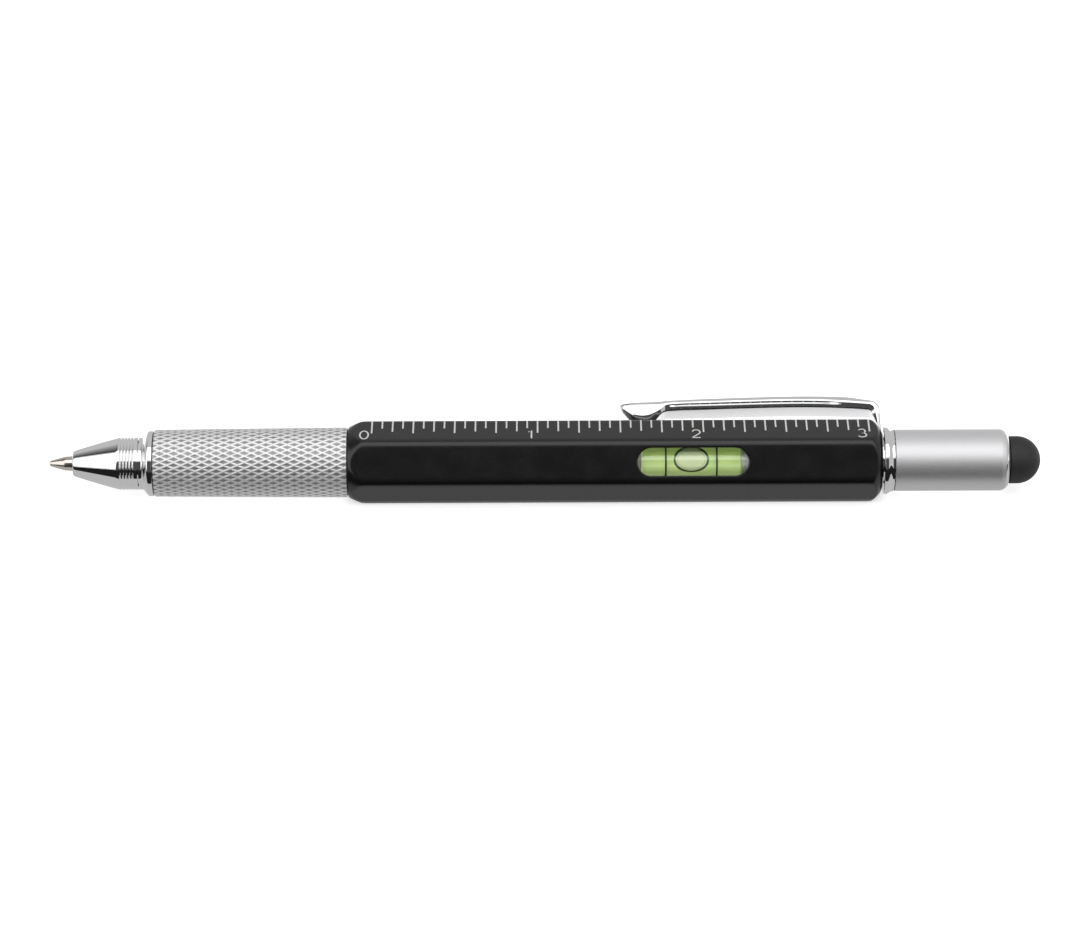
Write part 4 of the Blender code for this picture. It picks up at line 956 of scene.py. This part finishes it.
def stylus():
    """The soft tip of the stylus: a hollow dome with a short skirt."""
    skirt = STYLUS_FRONT + STYLUS_SKIRT
    inside = oval((skirt, 0), (STYLUS_BORE, STYLUS_BORE), 0, 90)
    inside[0] = (skirt + STYLUS_BORE, 0)
    edge = softened(
        (STYLUS_FRONT, STYLUS_BORE, 0),
        (STYLUS_FRONT, STYLUS_RADIUS, FACE_GAP),
        (skirt, STYLUS_RADIUS, 0),
    )
    dome = oval((skirt, 0), (STYLUS_REAR - skirt, STYLUS_RADIUS), 90, 0)[1:-1]
    rows = inside + edge + dome + [(STYLUS_REAR, 0)]
    finished("stylus_dome", skin(rows), "cap", RUBBER, "stylus_tip")


# Clip

# Stations from the tip to the bend: share of the reach; heights of the top, the chine and the keel
# over the flat, as shares of the clip's height; and half widths there, as shares of its width
CLIP_STATION_SHARES = (
    (0.000, 0.780, 0.735, 0.700, 0.10, 0.09, 0.05),
    (0.010, 0.800, 0.690, 0.600, 0.27, 0.25, 0.12),
    (0.025, 0.803, 0.580, 0.440, 0.40, 0.32, 0.15),
    (0.054, 0.806, 0.394, 0.160, 0.48, 0.39, 0.17),
    (0.087, 0.815, 0.327, 0.045, 0.50, 0.41, 0.18),
    (0.116, 0.822, 0.348, 0.060, 0.50, 0.42, 0.19),
    (0.142, 0.830, 0.426, 0.210, 0.50, 0.44, 0.22),
    (0.165, 0.842, 0.545, 0.400, 0.50, 0.47, 0.34),
    (0.185, 0.852, 0.670, 0.500, 0.50, 0.495, 0.34),
    (0.220, 0.868, 0.700, 0.530, 0.50, 0.50, 0.39),
    (0.320, 0.912, 0.728, 0.548, 0.50, 0.50, 0.395),
    (0.468, 0.955, 0.763, 0.578, 0.50, 0.50, 0.395),
    (0.600, 0.988, 0.790, 0.604, 0.50, 0.50, 0.395),
    (0.700, 1.000, 0.798, 0.614, 0.50, 0.50, 0.395),
    (0.800, 0.992, 0.782, 0.602, 0.50, 0.50, 0.395),
    (0.885, 0.960, 0.745, 0.578, 0.50, 0.50, 0.39),
    (0.932, 0.893, 0.705, 0.560, 0.50, 0.50, 0.375),
)
CLIP_LIP_START_SHARE = 0.19
CLIP_LIP_END_SHARE = 0.84
CLIP_LIP_RAMP_SHARE = 0.05
CLIP_LIP_TOP_SHARE = 0.23
CLIP_LIP_FOOT_SHARE = 0.51
CLIP_BEND_TOP_SHARE = 0.838
CLIP_BEND_FOOT_SHARE = 0.545
CLIP_CHINE_SHARE = 0.55
CLIP_UNDERSIDE_SHARE = 0.75


def through(places, steps):
    """Smooth in-between rows of a table, by a cubic through each pair of rows."""
    made = []
    last = len(places) - 1
    for i in range(last):
        before, here, after, beyond = (places[min(max(i + k, 0), last)] for k in (-1, 0, 1, 2))
        reach = after[0] - here[0]
        for k in range(steps):
            t = k / steps
            row = [here[0] + reach * t]
            for column in range(1, len(here)):
                slope = (after[column] - before[column]) / (after[0] - before[0]) * reach
                next_slope = (beyond[column] - here[column]) / (beyond[0] - here[0]) * reach
                rise = after[column] - here[column]
                cubic = slope + next_slope - 2 * rise
                square = 3 * rise - 2 * slope - next_slope
                row.append(here[column] + slope * t + square * t * t + cubic * t**3)
            made.append(tuple(row))
    made.append(places[-1])
    return made


def clip_section(outer, inner, chine_share, top_half, chine_half, keel_half, lip=0):
    """A section of the clip as (point of its side view, place across it) pairs.

    Its corners are drawn round. The lip is a fine ledge along the underside's edge.
    """
    outer = Vector(outer)
    depth = (Vector(inner) - outer).length
    down = (Vector(inner) - outer) / depth
    chine = depth * chine_share
    ledge = []
    for share, out in ((CLIP_LIP_TOP_SHARE, -CLIP_LIP_IN), (CLIP_LIP_FOOT_SHARE, CLIP_LIP_OUT)):
        across = chine_half + (keel_half - chine_half) * share + out * lip
        ledge.append((chine + (depth - chine) * share, across, CLIP_LIP_EDGE))
    half_outline = [
        (0, top_half, min(CLIP_TOP_EDGE, top_half * CLIP_TOP_EDGE_SHARE)),
        (chine, chine_half, CLIP_CHINE_EDGE),
        *ledge,
        (depth, keel_half, CLIP_CHINE_EDGE),
    ]
    other_half = [(d, -across, soft) for d, across, soft in reversed(half_outline)]
    outline = softened(*half_outline, *other_half)
    return [(outer + down * d, across) for d, across in outline]


def clip_sections():
    """The sections of the clip from its tip, along its arm and round its bend to its foot."""
    sections = []
    for along, *shares in through(CLIP_STATION_SHARES, CLIP_STEPS):
        top, chine, keel = (FLAT_RADIUS + CLIP_HEIGHT * share for share in shares[:3])
        halves = [CLIP_WIDTH * share for share in shares[3:]]
        x = CLIP_TIP + CLIP_REACH * along
        inside = min(along - CLIP_LIP_START_SHARE, CLIP_LIP_END_SHARE - along)
        lip = min(1, max(0, inside / CLIP_LIP_RAMP_SHARE))
        chine_share = (top - chine) / (top - keel)
        sections.append(clip_section((x, top), (x, keel), chine_share, *halves, lip))

    radius = CLIP_BEND_RADIUS
    split = FLAT_RADIUS + CLIP_SPLIT_HEIGHT
    top = FLAT_RADIUS + CLIP_HEIGHT * CLIP_BEND_TOP_SHARE
    front = WASHER_REAR - CLIP_LEG_DEPTH
    drop = FLAT_RADIUS + CLIP_HEIGHT * CLIP_BEND_FOOT_SHARE - split
    bend_centre = (WASHER_REAR - radius, top - radius)
    outer_path = oval(bend_centre, (radius, radius), 90, 0, CLIP_BEND_STEPS - 1)
    outer_path.append((WASHER_REAR, split))
    inner_path = oval((front - drop, split), (drop, drop), 90, 0, CLIP_BEND_STEPS)
    for step, (outer, inner) in enumerate(zip(outer_path, inner_path)):
        part = step / CLIP_BEND_STEPS
        half = (CLIP_WIDTH + (CLIP_LEG_WIDTH - CLIP_WIDTH) * part) / 2
        keel_half = half * CLIP_UNDERSIDE_SHARE
        sections.append(clip_section(outer, inner, CLIP_CHINE_SHARE, half, half, keel_half))

    half = CLIP_LEG_WIDTH / 2
    for depth, height in (
        ((WASHER_SHEET + CLIP_LEG_DEPTH) / 2, FLAT_RADIUS + CLIP_LEG_CLEARANCE),
        (WASHER_SHEET, FLAT_RADIUS - CLIP_LEG_CLEARANCE),
        (WASHER_SHEET, WASHER_BORE + CLIP_LEG_CLEARANCE),
    ):
        outer = (WASHER_REAR, height)
        inner = (WASHER_REAR - depth, height)
        taper = (1 - CLIP_UNDERSIDE_SHARE) * (depth - WASHER_SHEET) / CLIP_LEG_DEPTH
        keel_half = half * (1 - taper)
        sections.append(clip_section(outer, inner, CLIP_CHINE_SHARE, half, half, keel_half))
    return sections


def clip():
    """The clip: a boat-shaped boss, an arm, a bend, a leg, and a washer inside the joint."""
    rings = []
    for section in clip_sections():
        rings.append([on_axis(*place, across, CLIP_TURN) for place, across in section])
    bm = loft(rings, ends=True)
    arm = finished("clip_strip", bm, None, CHROME, "clip_arm", CLIP_CREASE)
    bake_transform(arm)
    washer_front = WASHER_REAR - WASHER_SHEET
    ring = softened(
        (washer_front, WASHER_RADIUS, WASHER_EDGE),
        (WASHER_REAR, WASHER_RADIUS, WASHER_EDGE),
        (WASHER_REAR, WASHER_BORE, 0),
        (washer_front, WASHER_BORE, 0),
    )
    finished("clip_washer", skin(ring), "barrel", CHROME, "clip_root")


# Level

# Painted light and shade over the window's height and over the bubble's reach, as (place share,
# colour): the liquid paler at the window's foot and darker under its top edge, the bubble's painted
# dark rim and fine inner ring, and painted shade over its top
LIQUID_PAINTED_LIGHT_STOPS = (
    (0.3, (1.0, 1.0, 1.0)),
    (0.5, (0.78, 0.82, 0.7)),
    (0.7, (0.68, 0.72, 0.55)),
    (1.0, (0.6, 0.68, 0.46)),
)
BUBBLE_PAINTED_RIM_STOPS = (
    (0.74, (1.0, 1.0, 1.0)),
    (0.78, (0.62, 0.7, 0.55)),
    (0.82, (1.0, 1.0, 1.0)),
    (0.86, (0.9, 0.95, 0.85)),
    (0.91, (0.05, 0.1, 0.03)),
    (1.0, (0.06, 0.12, 0.04)),
)
BUBBLE_PAINTED_TOP_SHADE_STOPS = (
    (0.0, (1.0, 1.0, 1.0)),
    (0.5, (0.95, 0.95, 1.0)),
    (0.72, (0.3, 0.36, 0.26)),
    (1.0, (0.16, 0.22, 0.12)),
)


def window_frame(made, middle, rise, half_length, centre):
    """Places on a material as (along, across) of the window, counted from a middle."""
    tree = made.node_tree
    across = Matrix.Rotation(WINDOW_TURN, 3, "X") @ Vector((0, rise, 0))
    inputs = {
        "Vector": wire(tree, "ShaderNodeTexCoord").outputs["Object"],
        "Location": (middle, centre[0] + across.y, AXIS_HEIGHT + centre[1] + across.z),
        "Rotation": (WINDOW_TURN, 0, 0),
        "Scale": (half_length, BUBBLE_HALF_WIDTH, BUBBLE_HALF_WIDTH),
    }
    return wire(tree, "ShaderNodeMapping", inputs, vector_type="TEXTURE").outputs["Vector"]


def liquid_shade(centre, middle):
    """Painted light and shade: the liquid is paler towards the foot of the window, where its light
    gathers, and darker under the window's top edge; its glow follows.
    """
    place = window_frame(LIQUID, middle, 0, BUBBLE_HALF_WIDTH, centre)
    tree = LIQUID.node_tree
    height = wire(tree, "ShaderNodeSeparateXYZ", {"Vector": place}).outputs["Y"]
    reach = {"Value": height, "From Min": -LIQUID_SHADE_REACH, "From Max": LIQUID_SHADE_REACH}
    share = wire(tree, "ShaderNodeMapRange", reach).outputs["Result"]
    tinted(LIQUID, ramp_of(tree, share, LIQUID_PAINTED_LIGHT_STOPS), glow=True)


def bubble_shade(centre, middle, half_length):
    """Painted shade: the bubble's dark rim and its fine inner ring stand in for light bent at its
    edge, and its top is painted dark like the shaded liquid seen through it.
    """
    place = window_frame(AIR, middle, BUBBLE_RISE, half_length, centre)
    tree = AIR.node_tree
    flat = wire(tree, "ShaderNodeVectorMath", {0: place, 1: (1, 1, 0)}, operation="MULTIPLY")
    reach = wire(tree, "ShaderNodeVectorMath", {0: flat.outputs[0]}, operation="LENGTH")
    tinted(AIR, ramp_of(tree, reach.outputs["Value"], BUBBLE_PAINTED_RIM_STOPS))
    height = wire(tree, "ShaderNodeSeparateXYZ", {"Vector": place}).outputs["Y"]
    tinted(AIR, ramp_of(tree, height, BUBBLE_PAINTED_TOP_SHADE_STOPS), glow=True)


def fuller(value):
    """A sine or cosine that makes an oval with fuller corners."""
    return math.copysign(abs(value) ** (2 / BUBBLE_FULLNESS), value)


def bubble(centre, radius):
    """The bubble, a thin lens that lies on the liquid under the window."""
    middle = (BUBBLE_FRONT + BUBBLE_REAR) / 2
    half_length = (BUBBLE_REAR - BUBBLE_FRONT) / 2
    toward = Matrix.Rotation(WINDOW_TURN, 3, "X")
    steps = BUBBLE_STEPS
    rings = []
    for skin_side, order in ((1, range(steps + 1)), (0, range(steps - 1, -1, -1))):
        for step in order:
            share = step / steps
            from_axis = radius + skin_side * BUBBLE_SKIN * math.sqrt(1 - share * share)
            ring = []
            for i in range(VIAL_COLUMNS if step else 1):
                turn = math.tau * i / VIAL_COLUMNS
                x = middle + half_length * share * fuller(math.cos(turn))
                across = BUBBLE_RISE + BUBBLE_HALF_WIDTH * share * fuller(math.sin(turn))
                spot = toward @ Vector((0, across, math.sqrt(from_axis**2 - across**2)))
                ring.append((x, centre[0] + spot.y, AXIS_HEIGHT + centre[1] + spot.z))
            rings.append(ring)
    liquid_shade(centre, middle)
    bubble_shade(centre, middle, half_length)
    finished("vial_air", loft(rings), "bubble", AIR, "vial_bubble")


def level():
    """The level: a clear vial with two black bands, its liquid, the bubble and the plug."""
    low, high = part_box("level_vial")
    centre = ((low.y + high.y) / 2, (low.z + high.z) / 2 - AXIS_HEIGHT)
    cavity = VIAL_RADIUS - VIAL_WALL
    floor_top = VIAL_FRONT + VIAL_FLOOR
    shell = softened(
        (VIAL_FRONT, 0, 0),
        (VIAL_FRONT, VIAL_RADIUS, FACE_GAP),
        (VIAL_REAR, VIAL_RADIUS, FACE_GAP),
        (VIAL_REAR, cavity, 0),
        (floor_top, cavity, 0),
        (floor_top, 0, 0),
    )
    bm = skin(shell, VIAL_COLUMNS, centre)
    glass = finished("vial_shell", bm, "barrel", CLEAR, "level_vial")
    second_coat(glass, FROSTED, VIAL_FRONT - FACE_GAP, floor_top + LIQUID_GAP / 2)
    level_radius = cavity - LIQUID_GAP
    liquid = softened(
        (floor_top + LIQUID_GAP, 0, 0),
        (floor_top + LIQUID_GAP, level_radius, LIQUID_GAP),
        (LIQUID_REAR, level_radius, LIQUID_GAP),
        (LIQUID_REAR, 0, 0),
    )
    bm = skin(liquid, VIAL_COLUMNS, centre)
    finished("vial_fluid", bm, "barrel", LIQUID, "vial_liquid")
    bubble(centre, level_radius + BUBBLE_SEAT)
    for node, name in (("vial_band_front", "band_front"), ("vial_band_rear", "band_rear")):
        first, last, radius = span(node)
        outer = radius + BAND_RISE
        inner = radius - BAND_THICKNESS
        ring = [(first, outer), (last, outer), (last, inner), (first, inner)]
        bm = skin(ring, VIAL_COLUMNS, centre)
        finished(name, bm, "barrel", BAND, node)


def plain_nodes():
    """The nodes whose own shape is right take a finer material."""
    coats = (
        (BRASS, ("rear_insert", "cap_insert", "front_bushing", "cam_sleeve")),
        (NICKEL, ("guide_tube", "bit_magnet")),
        (STEEL, ("carrier_pin",)),
        (RUBBER, ("friction_ring",)),
        (WHITE, ("refill_carrier", "stylus_holder", "vial_cradle", "vial_plug")),
        (TOOL_STEEL, ("driver_bit",)),
    )
    for coat, nodes in coats:
        for node in nodes:
            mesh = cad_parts[node].data
            mesh.materials.clear()
            mesh.materials.append(coat)


# Studio


def panel(name, centre, size, facing, strength):
    """A soft light that looks at a point."""
    data = bpy.data.lights.new(name, "AREA")
    data.shape = "RECTANGLE"
    data.size, data.size_y = size
    data.energy = strength * size[0] * size[1] * math.pi
    obj = placed(name, data)
    obj.location = centre
    obj.rotation_euler = (Vector(facing) - Vector(centre)).to_track_quat("-Z", "Y").to_euler()


def sheet(name, low, high):
    """A flat rectangle between two opposite corners, and its material's empty node tree."""
    corners = [low, (high[0], *low[1:]), high, (low[0], *high[1:])]
    mesh = bpy.data.meshes.new(name)
    mesh.from_pydata(corners, [], [(0, 1, 2, 3)])
    made = bpy.data.materials.new(name)
    made.use_nodes = True
    made.node_tree.nodes.clear()
    mesh.materials.append(made)
    obj = placed(name, mesh)
    return obj, made.node_tree


def card(name, low, high, tone, fade=None):
    """A flat grey card that only mirrors and gloss see."""
    obj, tree = sheet(name, low, high)
    light = wire(tree, "ShaderNodeEmission", {"Color": (1, 1, 1, 1), "Strength": tone})
    if fade:
        first, last, last_tone = fade
        place = wire(tree, "ShaderNodeTexCoord").outputs["Object"]
        y = wire(tree, "ShaderNodeSeparateXYZ", {"Vector": place}).outputs["Y"]
        share = {"Value": y, "From Min": first, "From Max": last, "To Min": tone,
                 "To Max": last_tone}
        feed(light, {"Strength": wire(tree, "ShaderNodeMapRange", share).outputs["Result"]})
    wire(tree, "ShaderNodeOutputMaterial", {"Surface": light.outputs[0]})
    obj.visible_camera = False
    obj.visible_diffuse = False
    obj.visible_shadow = False
    obj.visible_transmission = False


def floor():
    """A pale floor that looks white in the picture and in mirrors, and keeps the shadow."""
    tree = sheet("floor", (-FLOOR_REACH, -FLOOR_REACH, 0), (FLOOR_REACH, FLOOR_REACH, 0))[1]
    paint = wire(tree, "ShaderNodeBsdfDiffuse", {"Color": (*(FLOOR_TONE,) * 3, 1)})
    path = wire(tree, "ShaderNodeLightPath").outputs
    seen = path["Is Camera Ray"]
    for ray in ("Is Glossy Ray", "Is Transmission Ray"):
        seen = wire(tree, "ShaderNodeMath", {0: seen, 1: path[ray]}, operation="MAXIMUM").outputs[0]
    glow = wire(tree, "ShaderNodeMath", {0: seen, 1: FLOOR_GLOW}, operation="MULTIPLY")
    light = wire(tree, "ShaderNodeEmission", {"Strength": glow.outputs[0]})
    both = wire(tree, "ShaderNodeAddShader", {0: paint.outputs[0], 1: light.outputs[0]})
    wire(tree, "ShaderNodeOutputMaterial", {"Surface": both.outputs[0]})


def studio():
    """The world, the soft lights, the cards that mirrors see round the pen, and the floor."""
    world = bpy.data.worlds.new("studio")
    world.use_nodes = True
    background = {"Color": (*(WORLD_TONE,) * 3, 1), "Strength": 1.0}
    feed(world.node_tree.nodes["Background"], background)
    bpy.context.scene.world = world
    for name, settings in PANELS.items():
        panel(name, *settings)
    for name, settings in CARDS.items():
        card(name, *settings)
    floor()


def camera():
    """The camera at the photograph's angle."""
    data = bpy.data.cameras.new("camera")
    data.lens = VIEW_LENS
    data.clip_end = VIEW_END
    obj = placed("camera", data)
    back = Vector((0, -math.cos(VIEW_ELEVATION), math.sin(VIEW_ELEVATION)))
    up = Vector((0, math.sin(VIEW_ELEVATION), math.cos(VIEW_ELEVATION)))
    aim = Vector((VIEW_X, 0, AXIS_HEIGHT)) - up * VIEW_DROP
    obj.location = aim + back * VIEW_DISTANCE
    roll = Matrix.Rotation(-VIEW_ROLL, 3, "Z").to_quaternion()
    obj.rotation_mode = "QUATERNION"
    obj.rotation_quaternion = (-back).to_track_quat("-Z", "Y") @ roll
    bpy.context.scene.camera = obj


barrel()
ruler()
nose()
front_collar()
grip()
refill()
rear_collar()
cap()
stylus()
clip()
level()
plain_nodes()
studio()
camera()
bpy.context.scene.view_settings.view_transform = "Standard"
